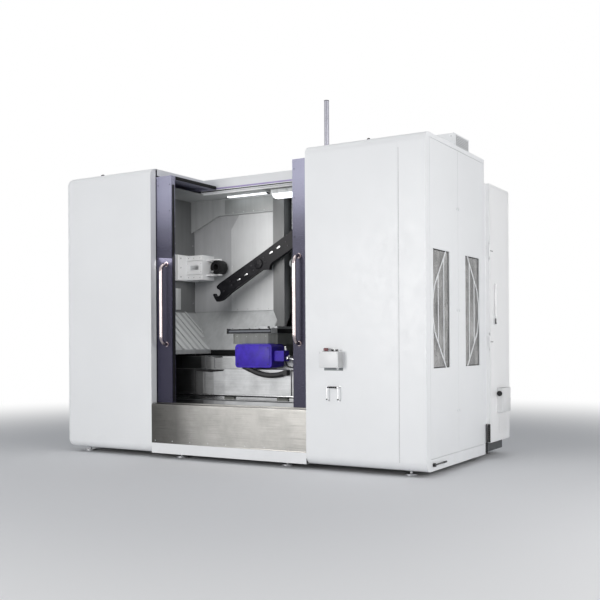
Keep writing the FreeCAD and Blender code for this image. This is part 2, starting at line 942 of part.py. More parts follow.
def cover_outline_yz(shrink, foot):
    """Y and Z corners of a telescopic cover, one step smaller for each step of shrink."""
    front = cover_front + shrink
    back = cover_back - shrink
    riser = front + cover_ledge_depth
    return [
        (front, foot),
        (front, cover_ledge - shrink),
        (riser, cover_ledge - shrink),
        (riser, cover_top - shrink),
        (back, cover_top - shrink),
        (back, foot),
    ]


def hat(x, inset):
    """One telescopic cover: a folded sheet over the guides, stepped at the front."""
    outer = prism_x(cover_outline_yz(inset, cover_bottom), x)
    inner = prism_x(cover_outline_yz(inset + cover_sheet, cover_bottom - cover_sheet), x)
    return outer.cut(inner)


def cover_lip(x, inset):
    """Wiper rim inside one end of a cover, which just clears the next smaller cover."""
    outer = prism_x(cover_outline_yz(inset, cover_bottom), x)
    reach = inset + cover_step - running_gap
    inner = prism_x(cover_outline_yz(reach, cover_bottom - cover_sheet), x)
    return outer.cut(inner)


def end_cover(sign):
    """Outermost cover at one end of the bed, with an end plate that stands on the bed."""
    end = bed_right if sign > 0 else bed_left
    near = end - sign * cover_length
    cover = hat(tuple(sorted((end, near))), 0)
    lip = cover_lip(tuple(sorted((near, near + sign * wiper_thickness))), 0)
    plate_x = tuple(sorted((end, end - sign * cover_sheet)))
    plate = prism_x(cover_outline_yz(0, bed_top), plate_x)
    for place in guide_places():
        gap = (place - running_gap, place + guide_width + running_gap)
        plate = plate.cut(block(plate_x, gap, (bed_top, bed_top + guide_height + running_gap)))
    return joined([cover, lip, plate])


def chip_trough():
    """Sloping-sided gutter in front of the bed that carries chips and coolant away."""
    x = (chamber_left, chamber_right)
    y = (chamber_front + chamber_sheet + running_gap, bed_front)
    lip = sheet
    outline = [
        (y[0], sill_top),
        (y[0] + trough_slope, trough_low),
        (y[1] - trough_slope, trough_low),
        (y[1], bed_top - lip),
        (y[1], bed_top - 2 * lip),
        (y[1] - trough_slope, trough_low - lip),
        (y[0] + trough_slope, trough_low - lip),
        (y[0], sill_top - lip),
    ]
    return prism_x(outline, x)


def bed_covers():
    """Fixed covers at both ends of the bed, and the chip gutter along its front."""
    return Part.makeCompound([end_cover(-1), end_cover(1), chip_trough()])


def middle_cover(sign):
    """Second cover, which moves half as far as the table."""
    end = bed_right if sign > 0 else bed_left
    side = table_x + sign * saddle_half
    reach = ((side + sign * cover_length) + end) / 2
    near = reach - sign * cover_length
    cover = hat(tuple(sorted((reach, near))), cover_step)
    lip = cover_lip(tuple(sorted((near, near + sign * wiper_thickness))), cover_step)
    return joined([cover, lip])


def saddle_casting():
    """Cast table slide on four guide shoes, tunnelled below for the screw."""
    x = (table_x - saddle_half + saddle_side_gap, table_x + saddle_half - saddle_side_gap)
    low = bed_top + guide_height + running_gap
    body = prism_x(cover_outline_yz(cover_sheet, low), x)
    middle = (bed_front + bed_back) / 2
    tunnel = block(x, (middle - bed_wall, middle + bed_wall), (low, low + bed_wall * 2))
    shoes = []
    for place in guide_places():
        for side in (-1, 1):
            centre = table_x + side * (saddle_half - saddle_side_gap - carriage_length)
            shoe_x = (centre - carriage_length / 2, centre + carriage_length / 2)
            shoe_y = (place - guide_width / 3, place + guide_width * 4 / 3)
            shoe = block(shoe_x, shoe_y, (bed_top + wiper_thickness, low))
            slot = block(shoe_x, (place - running_gap, place + guide_width + running_gap), (bed_top, low))
            shoes.append(shoe.cut(slot))
    return joined([body] + shoes).cut(tunnel)


def saddle():
    """Table slide with the rotary table's housing on it, bored for the pallet's pilot."""
    flange_low = pallet_bottom - body_flange_height
    flange = prism_z(corner_cut_square(body_half, body_corner, table_x, table_y), (flange_low, pallet_bottom))
    foot_x, foot_y = table_foot()
    foot = block(foot_x, foot_y, (cover_top - cover_sheet, flange_low))
    bore_low = pallet_bottom - body_bore_depth - running_gap
    bore_at = Vec(table_x, table_y, bore_low)
    bore = Part.makeCylinder(body_bore + fit_gap, body_bore_depth + running_gap, bore_at)
    return joined([saddle_casting(), flange, foot]).cut(bore)


def table_foot():
    """X and Y ranges of the narrower foot under the rotary table's flange."""
    x = (table_x - body_half + body_corner, table_x + body_half - body_corner)
    y = (table_y - body_half + body_foot_inset, table_y + body_half)
    return x, y


def saddle_cover():
    """Stainless cover of the table slide, with the innermost telescopic sheet on each side."""
    x = (table_x - saddle_half, table_x + saddle_half)
    pieces = [hat(x, 0)]
    for sign in (-1, 1):
        side = table_x + sign * saddle_half
        inner_x = tuple(sorted((side - sign * bulkhead, side + sign * cover_length)))
        pieces.append(hat(inner_x, cover_step * 2))
        plate_x = tuple(sorted((side, side - sign * bulkhead)))
        shrink = cover_step * 2 + cover_sheet
        rim = prism_x(cover_outline_yz(0, cover_bottom), plate_x)
        pieces.append(rim.cut(prism_x(cover_outline_yz(shrink, cover_bottom - cover_sheet), plate_x)))
    cover = joined(pieces)
    foot_x, foot_y = table_foot()
    gap = running_gap
    hole_x = (foot_x[0] - gap, foot_x[1] + gap)
    hole_y = (foot_y[0] - gap, foot_y[1] + gap)
    return cover.cut(block(hole_x, hole_y, (cover_ledge, cover_top)))


def corner_cut_square(half, cut, centre_x, centre_y):
    """Corners of a square with its corners cut off."""
    points = []
    for sx, sy in ((1, -1), (1, 1), (-1, 1), (-1, -1)):
        near = (centre_x + sx * half, centre_y + sy * (half - cut))
        far = (centre_x + sx * (half - cut), centre_y + sy * half)
        points += [far, near] if sx * sy < 0 else [near, far]
    return points


def pallet():
    """Square pallet with T-slots, edge stops and a round pilot that turns in the table housing."""
    top = pallet_bottom + pallet_thickness
    outline = corner_cut_square(pallet_size / 2, pallet_corner, table_x, table_y)
    plate = prism_z(outline, (pallet_bottom + running_gap, top))
    for number in range(slot_count):
        middle = table_x + slot_pitch * (number - (slot_count - 1) / 2)
        y = (table_y - pallet_size / 2, table_y + pallet_size / 2)
        neck = block((middle - slot_neck / 2, middle + slot_neck / 2), y, (top - slot_depth, top))
        foot_z = (top - slot_depth, top - slot_depth + slot_foot_height)
        foot = block((middle - slot_foot / 2, middle + slot_foot / 2), y, foot_z)
        plate = plate.cut(neck).cut(foot)
    pilot_low = pallet_bottom - body_bore_depth
    pilot = Part.makeCylinder(body_bore, body_bore_depth + running_gap * 2, Vec(table_x, table_y, pilot_low))
    return joined([plate, pilot] + edge_locators())


def edge_locators():
    """Two raised stops along the pallet's front and right edges."""
    top = pallet_bottom + pallet_thickness
    right = table_x + pallet_size / 2
    front = table_y - pallet_size / 2
    z = (top, top + locator_height)
    near_x = (right - 2 * pallet_corner - locator_length / 2, right - 2 * pallet_corner)
    near = block(near_x, (front, front + locator_width), z)
    side_y = (front + pallet_corner, front + pallet_corner + locator_length)
    side = block((right - locator_width, right), side_y, z)
    return [near, side]


def drive_cover():
    """Housing of the table drive, with rounded corners and a connector box on its side."""
    left = table_x - drive_left
    x = (left, left + drive_width)
    y = (drive_front, table_y - body_half + body_foot_inset)
    z = (drive_bottom, pallet_bottom - body_flange_height)
    body = block(x, y, z)
    places = [dict(x=x[0], z=z[0]), dict(x=x[0], z=z[1]), dict(x=x[1], z=z[0]), dict(x=x[1], z=z[1])]
    body = rounded(body, drive_radius, places)
    front_edges = [edge for edge in body.Edges if all(abs(v.Point.y - y[0]) < 0.01 for v in edge.Vertexes)]
    body = body.makeFillet(drive_radius / 4, front_edges)
    middle_z = (z[0] + z[1]) / 2
    box_y = (y[0] + connector_set_back, y[0] + connector_set_back + connector_size)
    box_z = (middle_z - connector_size / 2, middle_z + connector_size / 2)
    connector = block((x[1], x[1] + connector_out), box_y, box_z)
    return joined([body, connector])


def drive_hose():
    """Cable hose that sags from under the drive to a gland on the slide cover."""
    start = Vec(table_x - drive_left + hose_start, hose_y, drive_bottom)
    corner = Vec(table_x + hose_corner, hose_y, hose_corner_height)
    end = Vec(table_x + hose_end, hose_y, hose_end_height)
    leaving = corner.sub(start).normalize()
    above = start.sub(Vec(leaving) * hose_nut_length)
    hose = tube_along(bent_path([above, corner, end], hose_bend), hose_radius)
    nut_end = start.add(Vec(leaving) * hose_nut_length)
    nut = rod(above, nut_end, hose_radius + hose_nut_wall)
    over_x = (table_x - drive_left, table_x - drive_left + drive_width)
    over = block(over_x, (0, bed_back), (drive_bottom, cover_top))
    gland_x = (end.x - gland_width / 4, end.x + gland_width * 3 / 4)
    gland_z = (end.z - gland_size / 2, end.z + gland_size / 2)
    gland = block(gland_x, (hose_y - hose_radius, cover_front), gland_z)
    return joined([hose, nut, gland]).cut(over)


# ---- Column, head and spindle ----
def column():
    """Portal column: two uprights on the bed with a beam across the top and a tie below."""
    pieces = []
    for side in (-1, 1):
        outer = spindle_x + side * column_half
        x = tuple(sorted((outer, outer - side * upright_width)))
        pieces.append(block(x, (column_front, column_back), (bed_top, column_top)))
    inner_half = column_half - upright_width
    across = (spindle_x - inner_half, spindle_x + inner_half)
    beam = block(across, (column_front, column_back), (column_top - column_beam, column_top))
    tie = block(across, (column_front, column_back), (bed_top, bed_top + column_beam))
    shelf_x = (spindle_x - bellows_half, spindle_x + bellows_half)
    shelf = block(shelf_x, (head_front, column_front), (bellows_low - bulkhead, bellows_low))
    web_z = (bed_top + column_beam, bellows_low)
    web = block(across, (column_front, column_front + bed_wall), web_z)
    frame = joined(pieces + [beam, tie, shelf, web])
    return frame.fuse(changer_gearbox()).removeSplitter()


def head_shoes():
    """Guide shoes behind the head plate, open round the column rails."""
    shoes = []
    for side in (-1, 1):
        middle = spindle_x + side * (column_half - upright_width / 2)
        for level in (-1, 1):
            centre = spindle_height + level * (head_half_height - carriage_length / 2)
            z = (centre - carriage_length / 2, centre + carriage_length / 2)
            x = (middle - guide_width, middle + guide_width)
            shoe = block(x, (head_front + head_thickness, column_front - running_gap * 4), z)
            slot_x = (middle - guide_width / 2 - running_gap, middle + guide_width / 2 + running_gap)
            shoes.append(shoe.cut(block(slot_x, (column_front - guide_height - running_gap, column_front), z)))
    return shoes


def spindle_head():
    """Head casting: a front plate on guide shoes and a barrel bored for the ram."""
    plate_x = (spindle_x - head_half, spindle_x + head_half)
    plate_z = (spindle_height - head_half_height, spindle_height + head_half_height)
    plate = block(plate_x, (head_front, head_front + head_thickness), plate_z)
    back = head_front + head_thickness
    barrel_x = (spindle_x - barrel_half, spindle_x + barrel_half)
    barrel_z = (spindle_height - barrel_half, spindle_height + barrel_half)
    barrel = block(barrel_x, (back, back + barrel_length), barrel_z)
    centre = Vec(spindle_x, head_front, spindle_height)
    bore = Part.makeCylinder(ram_radius + fit_gap, head_thickness + barrel_length, centre, ALONG_Y)
    return joined([plate, barrel, coolant_nozzle()] + head_shoes()).cut(bore)


def turned(profile, centre_x, centre_z):
    """A solid of revolution about an axis along Y, from (radius, y) points."""
    points = [Vec(centre_x + radius, y, centre_z) for radius, y in profile]
    face = Part.Face(Part.makePolygon(points + [points[0]]))
    return face.revolve(Vec(centre_x, 0, centre_z), ALONG_Y, 360)


def ram():
    """Round ram that carries the spindle: a tapered nose and a long ground barrel."""
    inner = spindle_shaft_radius + fit_gap
    bore_end = nose_front + spindle_shaft_length + running_gap
    profile = [
        (inner, nose_front),
        (nose_tip_radius, nose_front),
        (nose_radius, nose_front + nose_radius / 2),
        (nose_radius, ram_front),
        (ram_radius, ram_front + (ram_radius - nose_radius)),
        (ram_radius, ram_back),
        (0, ram_back),
        (0, bore_end),
        (inner, bore_end),
    ]
    return turned(profile, spindle_x, spindle_height)


def spindle():
    """Spindle with a steep taper socket and two drive keys on its face."""
    face_y = spindle_face
    shoulder = nose_front - running_gap
    end = nose_front + spindle_shaft_length
    profile = [
        (taper_mouth_radius, face_y),
        (spindle_radius, face_y),
        (spindle_radius, shoulder),
        (spindle_shaft_radius, shoulder),
        (spindle_shaft_radius, end),
        (0, end),
        (0, face_y + taper_depth),
        (taper_end_radius, face_y + taper_depth),
    ]
    body = turned(profile, spindle_x, spindle_height)
    keys = []
    for side in (-1, 1):
        z = spindle_height + side * (taper_mouth_radius + spindle_radius) / 2
        key_z = (z - drive_key_width / 2, z + drive_key_width / 2)
        key_x = (spindle_x - drive_key_width / 2, spindle_x + drive_key_width / 2)
        keys.append(block(key_x, (face_y - drive_key_height, face_y), key_z))
    return joined([body] + keys)


def bellows(low, high, folds):
    """Folded way cover between two heights, as one zigzag sheet block."""
    x = (spindle_x - bellows_half, spindle_x + bellows_half)
    front = head_front
    back = head_front + bellows_depth
    pitch = (high - low) / folds
    points = [(front + bellows_fold_depth, low)]
    for number in range(folds):
        points.append((front, low + pitch * (number + 0.5)))
        points.append((front + bellows_fold_depth, low + pitch * (number + 1)))
    points += [(back, high), (back, low)]
    return prism_x(points, x)


def upper_bellows():
    """Way cover above the head."""
    low = spindle_height + head_half_height
    return bellows(low, window_top, bellows_folds_up)


def lower_bellows():
    """Way cover below the head, which folds away behind the chip slope."""
    high = spindle_height - head_half_height
    return bellows(bellows_low, high, bellows_folds_down)


def coolant_nozzle():
    """Round nozzle on the head plate with a short spout."""
    centre = Vec(spindle_x - nozzle_from_spindle + nozzle_radius / 2, head_front, spindle_height)
    body = Part.makeCylinder(nozzle_radius, nozzle_length, centre, Vec(0, -1, 0))
    tip = centre.add(Vec(0, -nozzle_length, 0))
    spout = Part.makeCone(nozzle_radius / 2, nozzle_radius / 4, nozzle_radius, tip, Vec(0, -1, 0))
    return joined([body, spout])


# ---- Tool changer ----
def arm_half():
    """One half of the arm, along +X from the hub, with the hooked jaw at its end."""
    y = (arm_front, arm_front + arm_thickness)
    outline = [
        (0, -arm_half_width),
        (arm_shoulder_reach, -arm_half_width),
        (arm_end_reach, -arm_end_half),
        (arm_end_reach, -hook_tip_rise),
        (hook_reach - hook_tip_width, -hook_tip_rise),
        (hook_reach, -hook_tip_rise),
        (hook_reach, jaw_radius),
        (hook_nose_reach, hook_nose_half),
        (hook_toe_reach, hook_toe_half),
        (hook_heel_reach, hook_heel_half),
        (0, arm_half_width),
    ]
    beam = prism_y(outline, y)
    jaw = Part.makeCylinder(jaw_radius, arm_thickness, Vec(arm_reach, arm_front, 0), ALONG_Y)
    beam = beam.cut(jaw)
    for place in (arm_slot_near, arm_slot_far):
        slot_x = (place - arm_slot_length / 2, place + arm_slot_length / 2)
        beam = beam.cut(block(slot_x, y, (arm_slot_offset, arm_slot_offset + arm_slot_width)))
    return beam


def arm_lug():
    """Wedge-shaped lug under the middle of the arm."""
    y = (arm_front, arm_front + arm_thickness)
    outline = [
        (0, 0),
        (0, arm_half_width),
        (-arm_lug_tip, arm_lug_half),
        (-arm_lug_side, arm_lug_side_half),
        (-arm_lug_end, arm_half_width),
        (-arm_lug_end, 0),
    ]
    return prism_y(outline, y)


def tool_arm():
    """Double-ended change arm with a hooked jaw at each end, parked at a slant."""
    beam = arm_half()
    other = beam.copy()
    other.rotate(Vec(0, 0, 0), ALONG_Y, 180)
    arm = joined([beam, other, arm_lug()])
    bore = Part.makeCylinder(shaft_radius + fit_gap, arm_thickness, Vec(0, arm_front, 0), ALONG_Y)
    arm = arm.cut(bore)
    arm.rotate(Vec(0, 0, 0), ALONG_Y, 180 - arm_angle)
    arm.translate(Vec(hub_x, 0, spindle_height))
    return arm


def arm_shaft():
    """Shaft that turns and pushes the arm, with a cap in front and a collar behind it."""
    gap = running_gap
    front = arm_front - gap
    back = arm_front + arm_thickness + gap
    profile = [
        (0, front - shaft_cap),
        (shaft_cap_radius, front - shaft_cap),
        (shaft_cap_radius, front),
        (shaft_radius, front),
        (shaft_radius, back),
        (shaft_collar_radius, back),
        (shaft_collar_radius, back + shaft_collar),
        (shaft_radius, back + shaft_collar),
        (shaft_radius, shaft_back),
        (0, shaft_back),
    ]
    return turned(profile, hub_x, spindle_height)


def changer_gearbox():
    """Cam box that drives the arm, bolted to the column's left side and bored for the shaft."""
    right = spindle_x - column_half
    x = (right - gearbox_width, right)
    z = (spindle_height - gearbox_height / 2, spindle_height + gearbox_height / 2)
    body = block(x, (gearbox_front, gearbox_back), z)
    centre = Vec(hub_x, gearbox_front, spindle_height)
    boss = Part.makeCylinder(shaft_radius * 2, header_depth / 4, centre, Vec(0, -1, 0))
    start = Vec(hub_x, gearbox_front - header_depth, spindle_height)
    bore_length = shaft_back + running_gap - start.y
    bore = Part.makeCylinder(shaft_radius + fit_gap, bore_length, start, ALONG_Y)
    return joined([body, boss]).cut(bore)


def pot_bracket():
    """White bracket on the left wall: a wall box, a grooved arm and a fork with two ears."""
    middle = pot_front + pot_length / 2
    pieces = [bracket_wall_box()] + bracket_arm()
    ear_y = (middle - ear_width / 2, middle + ear_width / 2)
    ear_x = (pot_x - bracket_end_gap, pot_x)
    pins = []
    for side in (-1, 1):
        near = spindle_height + side * (pot_radius + running_gap)
        far = near + side * ear_thickness
        tip_at = Vec(pot_x, middle, min(near, far))
        pieces.append(block(ear_x, ear_y, (near, far)))
        pieces.append(Part.makeCylinder(ear_width / 2, ear_thickness, tip_at))
        pins.append(Part.makeCylinder(pot_pin_radius + fit_gap, ear_thickness, tip_at))
    return joined(pieces).cut(pins)


def bracket_wall_box():
    """Box of the bracket against the left wall, with rounded outer edges."""
    x = (chamber_left, chamber_left + sleeve_out)
    y = (sleeve_front, bracket_front + sleeve_depth)
    half = bracket_height / 2 + bracket_groove
    z = (spindle_height - half, spindle_height + half)
    outer_edges = [dict(x=x[1], y=y[0]), dict(x=x[1], z=z[0]), dict(x=x[1], z=z[1])]
    return rounded(block(x, y, z), sleeve_wall * 2, outer_edges)


def bracket_arm():
    """Arm of the bracket: a core with a rail above, a rail below and a plate between them."""
    x = (chamber_left + sleeve_out, pot_x - bracket_end_gap)
    core_y = (bracket_front, bracket_front + sleeve_depth)
    face_y = (bracket_front - bracket_rail_out, bracket_front)
    half = bracket_height / 2
    rail_inner = half - bracket_rail_height
    plate_half = rail_inner - bracket_groove
    pieces = [block(x, core_y, (spindle_height - half, spindle_height + half))]
    pieces.append(block(x, face_y, (spindle_height + rail_inner, spindle_height + half)))
    pieces.append(block(x, face_y, (spindle_height - half, spindle_height - rail_inner)))
    pieces.append(block(x, face_y, (spindle_height - plate_half, spindle_height + plate_half)))
    return pieces


def tool_pot():
    """Round pot with a tapered socket, on two pins that let it swing to face the arm."""
    profile = [
        (pot_bore_radius, pot_front),
        (pot_radius - sleeve_wall, pot_front),
        (pot_radius, pot_front + sleeve_wall),
        (pot_radius, pot_front + pot_length),
        (0, pot_front + pot_length),
        (0, pot_front + pot_bore_depth),
        (taper_end_radius, pot_front + pot_bore_depth),
    ]
    body = turned(profile, pot_x, spindle_height)
    middle = pot_front + pot_length / 2
    reach = pot_radius + running_gap + ear_thickness
    pins = []
    for side in (-1, 1):
        base = Vec(pot_x, middle, spindle_height + side * pot_radius * 0.7)
        pins.append(Part.makeCylinder(pot_pin_radius, reach - pot_radius * 0.7, base, Vec(0, 0, side)))
    return joined([body] + pins)


def magazine_face():
    """X of the disc's back, near the middle between the cabinet's side and the wall."""
    return (chamber_left - half_width) / 2 + magazine_off_middle


def tool_magazine():
    """Disc of tool pots on its axle, in the left cabinet."""
    face_x = magazine_face()
    centre = Vec(face_x, magazine_y, magazine_z)
    disc = Part.makeCylinder(magazine_radius + magazine_rim, magazine_plate, centre, ALONG_X)
    pieces = [disc]
    for number in range(magazine_pots):
        angle = 2 * math.pi * number / magazine_pots
        y = magazine_y + magazine_radius * math.cos(angle)
        z = magazine_z + magazine_radius * math.sin(angle)
        start = Vec(face_x + magazine_plate, y, z)
        pieces.append(Part.makeCylinder(magazine_pot_radius, magazine_pot_length, start, ALONG_X))
    hub = Part.makeCylinder(magazine_axle_radius * 2.5, magazine_plate * 2, centre, ALONG_X)
    wheel = joined(pieces + [hub])
    hole = Part.makeCylinder(magazine_axle_radius + fit_gap, magazine_plate * 3, centre, ALONG_X)
    return wheel.cut(hole)


def magazine_stand():
    """Upright that carries the magazine axle, standing on the pan."""
    face_x = magazine_face()
    thickness = magazine_stand_thickness
    x = (face_x - thickness - running_gap, face_x - running_gap)
    y = (magazine_y - magazine_stand_width / 2, magazine_y + magazine_stand_width / 2)
    upright = block(x, y, (pan_top, magazine_z + magazine_stand_width / 2))
    foot_x = (x[0] - magazine_stand_width / 2, x[1])
    foot = block(foot_x, y, (pan_top, pan_top + thickness))
    centre = Vec(x[1], magazine_y, magazine_z)
    axle = Part.makeCylinder(magazine_axle_radius, magazine_plate * 3, centre, ALONG_X)
    return joined([upright, foot, axle])


# ---- Right block: service bay ----
def bay_frame():
    """Frame of the right side, with one wide opening, a middle stop and the back panel."""
    x = (side_x, half_width)
    y = (edge_radius, right_block_depth)
    plate = block(x, y, (floor_gap, machine_height))
    door_x = (half_width - bay_door_thickness - running_gap, half_width)
    opening_y = (edge_radius + frame_border - frame_lip * 3, right_block_depth - frame_border + frame_lip)
    high = machine_height - frame_border
    seat = block(door_x, opening_y, (bay_door_low - bay_door_gap, high + bay_door_gap))
    lip = frame_lip
    through_y = (opening_y[0] + lip, opening_y[1] - lip)
    through = block(x, through_y, (bay_door_low + lip, high - lip))
    stop = block((side_x, door_x[0]), (bay_door_split - frame_border / 2, bay_door_split + frame_border / 2),
                 (bay_door_low, high))
    plate = plate.cut(seat).cut(through).fuse(stop)
    back_y = (right_block_depth - sheet, right_block_depth)
    back = block((cabinet_left, side_x), back_y, (pan_rim, roof_under))
    filler_y = (right_block_depth, cabinet_front)
    filler = block((half_width - sheet, half_width), filler_y, (filler_low, cabinet_top))
    slit_y = (lever_y - lever_slit_before, lever_y + lever_slit_after)
    slit_z = (lever_z + lever_slit_above, lever_z + lever_slit_above + lever_slit_height)
    slit = block((half_width - sheet, half_width), slit_y, slit_z)
    return joined([plate, back, filler]).cut(slit)


def bay_door_span(which):
    """Y range of one service door."""
    low = edge_radius + frame_border - frame_lip * 3 + bay_door_gap
    high = right_block_depth - frame_border + frame_lip - bay_door_gap
    if which == "front":
        return (low, bay_door_split - bay_door_gap / 2)
    return (bay_door_split + bay_door_gap / 2, high)


def pane_span(which):
    """Y range of one service door's window."""
    if which == "front":
        return (pane_front_near, pane_front_far)
    return (pane_rear_near, pane_rear_far)


def grille(which):
    """White bars over one window: half of a stretched hexagon and two uprights."""
    near, far = pane_span(which)
    width = far - near
    flip = which == "rear"
    x = (half_width - pane_thickness - bar_thickness, half_width - pane_thickness)

    def place(share):
        return far - width * share if flip else near + width * share

    middle = (pane_low + pane_high) / 2
    half = bar_width / 2
    bars = []

    def slanted(start, end):
        run_y = end[0] - start[0]
        run_z = end[1] - start[1]
        length = math.hypot(run_y, run_z)
        side_y = -run_z / length * half
        side_z = run_y / length * half
        corners = [
            (start[0] + side_y, start[1] + side_z),
            (end[0] + side_y, end[1] + side_z),
            (end[0] - side_y, end[1] - side_z),
            (start[0] - side_y, start[1] - side_z),
        ]
        bars.append(prism_x(corners, x))

    apex = place(grille_apex_share)
    knee = place(grille_knee_share)
    tip = place(grille_tip_share)
    for sign in (-1, 1):
        top = middle + sign * (pane_high - pane_low) / 2
        slanted((tip, top), (knee, middle + sign * grille_apex))
        slanted((knee, middle + sign * grille_apex), (apex, middle + sign * grille_apex / 3))
    slanted((apex, middle - grille_apex / 3), (apex, middle + grille_apex / 3))
    for share in (grille_bar_near, grille_bar_far):
        rise = (share - grille_knee_share) / (grille_tip_share - grille_knee_share)
        height = grille_apex + (pane_high - middle - grille_apex) * rise
        slanted((place(share), middle - height), (place(share), middle + height))
    inside = block(x, (near - half, far + half), (pane_low - half, pane_high + half))
    return joined(bars).common(inside)


def bay_door(which):
    """Sheet-metal service door, folded all round, with a window opening and its grille."""
    y = bay_door_span(which)
    high = machine_height - frame_border
    z = (bay_door_low, high)
    x = (half_width - bay_door_thickness, half_width)
    skin = bay_door_skin
    pan = block(x, y, z)
    inside = block((x[0], x[1] - skin), (y[0] + skin, y[1] - skin), (z[0] + skin, z[1] - skin))
    pan = pan.cut(inside)
    near, far = pane_span(which)
    window = block(x, (near, far), (pane_low, pane_high))
    pan = pan.cut(window)
    rim = skin * 2
    rim_x = (half_width - pane_thickness - bar_thickness - rim, half_width)
    frame = block(rim_x, (near - rim, far + rim), (pane_low - rim, pane_high + rim)).cut(window)
    return joined([pan, frame, grille(which)])


def bay_window(which):
    """Clear pane behind the bars of one service door."""
    near, far = pane_span(which)
    outside = half_width - pane_thickness - bar_thickness
    return block((outside - pane_thickness, outside), (near, far), (pane_low, pane_high))


def oil_chiller():
    """Tall chiller for the spindle oil, with louvres and a fan guard."""
    x = (side_x - unit_from_side - chiller_width, side_x - unit_from_side)
    y = (chiller_low_y, chiller_low_y + chiller_depth_y)
    z = (pan_top, pan_top + chiller_height)
    body = block(x, y, z)
    pitch = chiller_height / 3 / chiller_louvres
    for number in range(chiller_louvres):
        low = z[0] + chiller_height / 2 + pitch * number
        slot_y = (y[0] + bed_wall, y[1] - bed_wall)
        body = body.cut(block((x[1] - seam_from_corner / 20, x[1]), slot_y, (low, low + pitch / 2)))
    centre = Vec(x[1], (y[0] + y[1]) / 2, z[1] - chiller_height / 10)
    guard = Part.makeTorus(chiller_depth_y / 4, pane_thickness, centre, ALONG_X)
    return joined([body, guard])


def hydraulic_unit():
    """Oil tank with a pump motor, a valve block and a pressure bottle on top."""
    x = (side_x - unit_from_side - tank_width, side_x - unit_from_side)
    y = (tank_low_y, tank_low_y + tank_depth_y)
    z = (pan_top, pan_top + tank_height)
    tank = block(x, y, z)
    tank = tank.makeChamfer(sleeve_wall * 2, [edge for edge in tank.Edges if edge.Length > tank_height - 1])
    motor_at = Vec(x[1] - pump_radius * 1.4, y[0] + pump_radius * 1.2, z[1])
    motor = Part.makeCylinder(pump_radius, pump_height, motor_at)
    bottle_at = Vec(x[1] - bottle_radius * 1.4, y[1] - bottle_radius * 1.2, z[1])
    bottle = Part.makeCylinder(bottle_radius, bottle_height, bottle_at)
    dome = Part.makeSphere(bottle_radius, bottle_at.add(Vec(0, 0, bottle_height)))
    valve_y = (y[0] + pump_radius * 1.4, y[1] - bottle_radius * 1.4)
    valve = block((x[0] + bed_wall, x[0] + bed_wall * 3), valve_y, (z[1], z[1] + bed_wall * 3))
    return joined([tank, motor, bottle, dome, valve])


def drain_lever():
    """Black lever low on the right side, on a round boss."""
    x0 = half_width
    centre = Vec(x0 + running_gap, lever_y, lever_z)
    boss = Part.makeCylinder(lever_boss_radius, lever_standoff, centre, ALONG_X)
    axis_x = x0 + lever_standoff - lever_radius
    start = Vec(axis_x, lever_y, lever_z)
    grip_start = Vec(axis_x, lever_y + lever_length * 0.78, lever_z)
    end = Vec(axis_x, lever_y + lever_length, lever_z)
    return joined([boss, rod(start, end, lever_radius * 0.75), rod(grip_start, end, lever_radius)])


# ---- Fittings on the front and roof ----
def button_places():
    """X values of the stop button and the two push buttons."""
    left = opening_right + control_from_opening
    first = left + button_from_left
    return left + estop_from_left, first, first + button_pitch


def control_box():
    """Small box on the front of the right block, bored for its three buttons."""
    left = opening_right + control_from_opening
    x = (left, left + control_width)
    z = (control_low, control_low + control_height)
    body = block(x, (-control_depth, 0), z)
    edges = [edge for edge in body.Edges if any(abs(v.Point.y) > 1 for v in edge.Vertexes)]
    body = body.makeFillet(control_radius, edges)
    stop_x, first_x, second_x = button_places()
    depth = button_stem_depth + button_rise
    stems = [(stop_x, estop_stem_radius), (first_x, button_stem_radius), (second_x, button_stem_radius)]
    for place, radius in stems:
        start = Vec(place, -control_depth / 2, z[1] - depth)
        body = body.cut(Part.makeCylinder(radius + fit_gap, depth, start))
    return body


def push_button(x, radius, stem_radius, height, domed):
    """A button head over a stem that slides in its bore."""
    top = control_low + control_height
    y = -control_depth / 2
    stem = Part.makeCylinder(stem_radius, button_stem_depth + button_rise, Vec(x, y, top - button_stem_depth))
    head = Part.makeCylinder(radius, height, Vec(x, y, top + button_rise))
    if domed:
        rim = [edge for edge in head.Edges if edge.Vertexes[0].Point.z > top + button_rise + height - 1]
        head = head.makeFillet(height / 3, [edge for edge in rim if edge.Closed])
    return joined([head, stem])


def hose_hook():
    """Wire hook below the control box: two uprights on feet with a bar across the top."""
    left = opening_right + hook_from_opening
    pieces = []
    for x in (left, left + hook_width):
        pieces.append(rod(Vec(x, -hook_standoff, hook_low), Vec(x, -hook_standoff, hook_high), hook_radius))
        for z in (hook_low + hook_radius, hook_high - hook_radius):
            pieces.append(rod(Vec(x, -hook_standoff, z), Vec(x, 0, z), hook_radius))
    bar_z = hook_high - hook_radius
    bar_start = Vec(left, -hook_standoff, bar_z)
    bar_end = Vec(left + hook_width, -hook_standoff, bar_z)
    return joined(pieces + [rod(bar_start, bar_end, hook_radius)])


def roof_pole():
    """Bright tube standing on the roof, on a round flange and closed at the top."""
    foot = Vec(opening_right + pole_from_opening, pole_y, machine_height)
    tube = Part.makeCylinder(pole_radius, pole_height, foot)
    bore = Part.makeCylinder(pole_radius - pole_wall, pole_height - pole_wall, foot)
    flange = Part.makeCylinder(pole_flange_radius, pole_flange, foot)
    flange_bore = Part.makeCylinder(pole_radius - pole_wall, pole_flange, foot)
    return joined([tube.cut(bore), flange.cut(flange_bore)])


def roof_box():
    """Low box on the roof of the right block."""
    x = (side_x - roof_box_from_side - roof_box_width, side_x - roof_box_from_side)
    y = (roof_box_front, roof_box_front + roof_box_depth)
    z = (machine_height, machine_height + roof_box_height)
    body = block(x, y, z)
    return rounded(body, sleeve_wall * 2, [dict(x=x[1], z=z[1]), dict(y=y[0], z=z[1]), dict(x=x[0], z=z[1])])


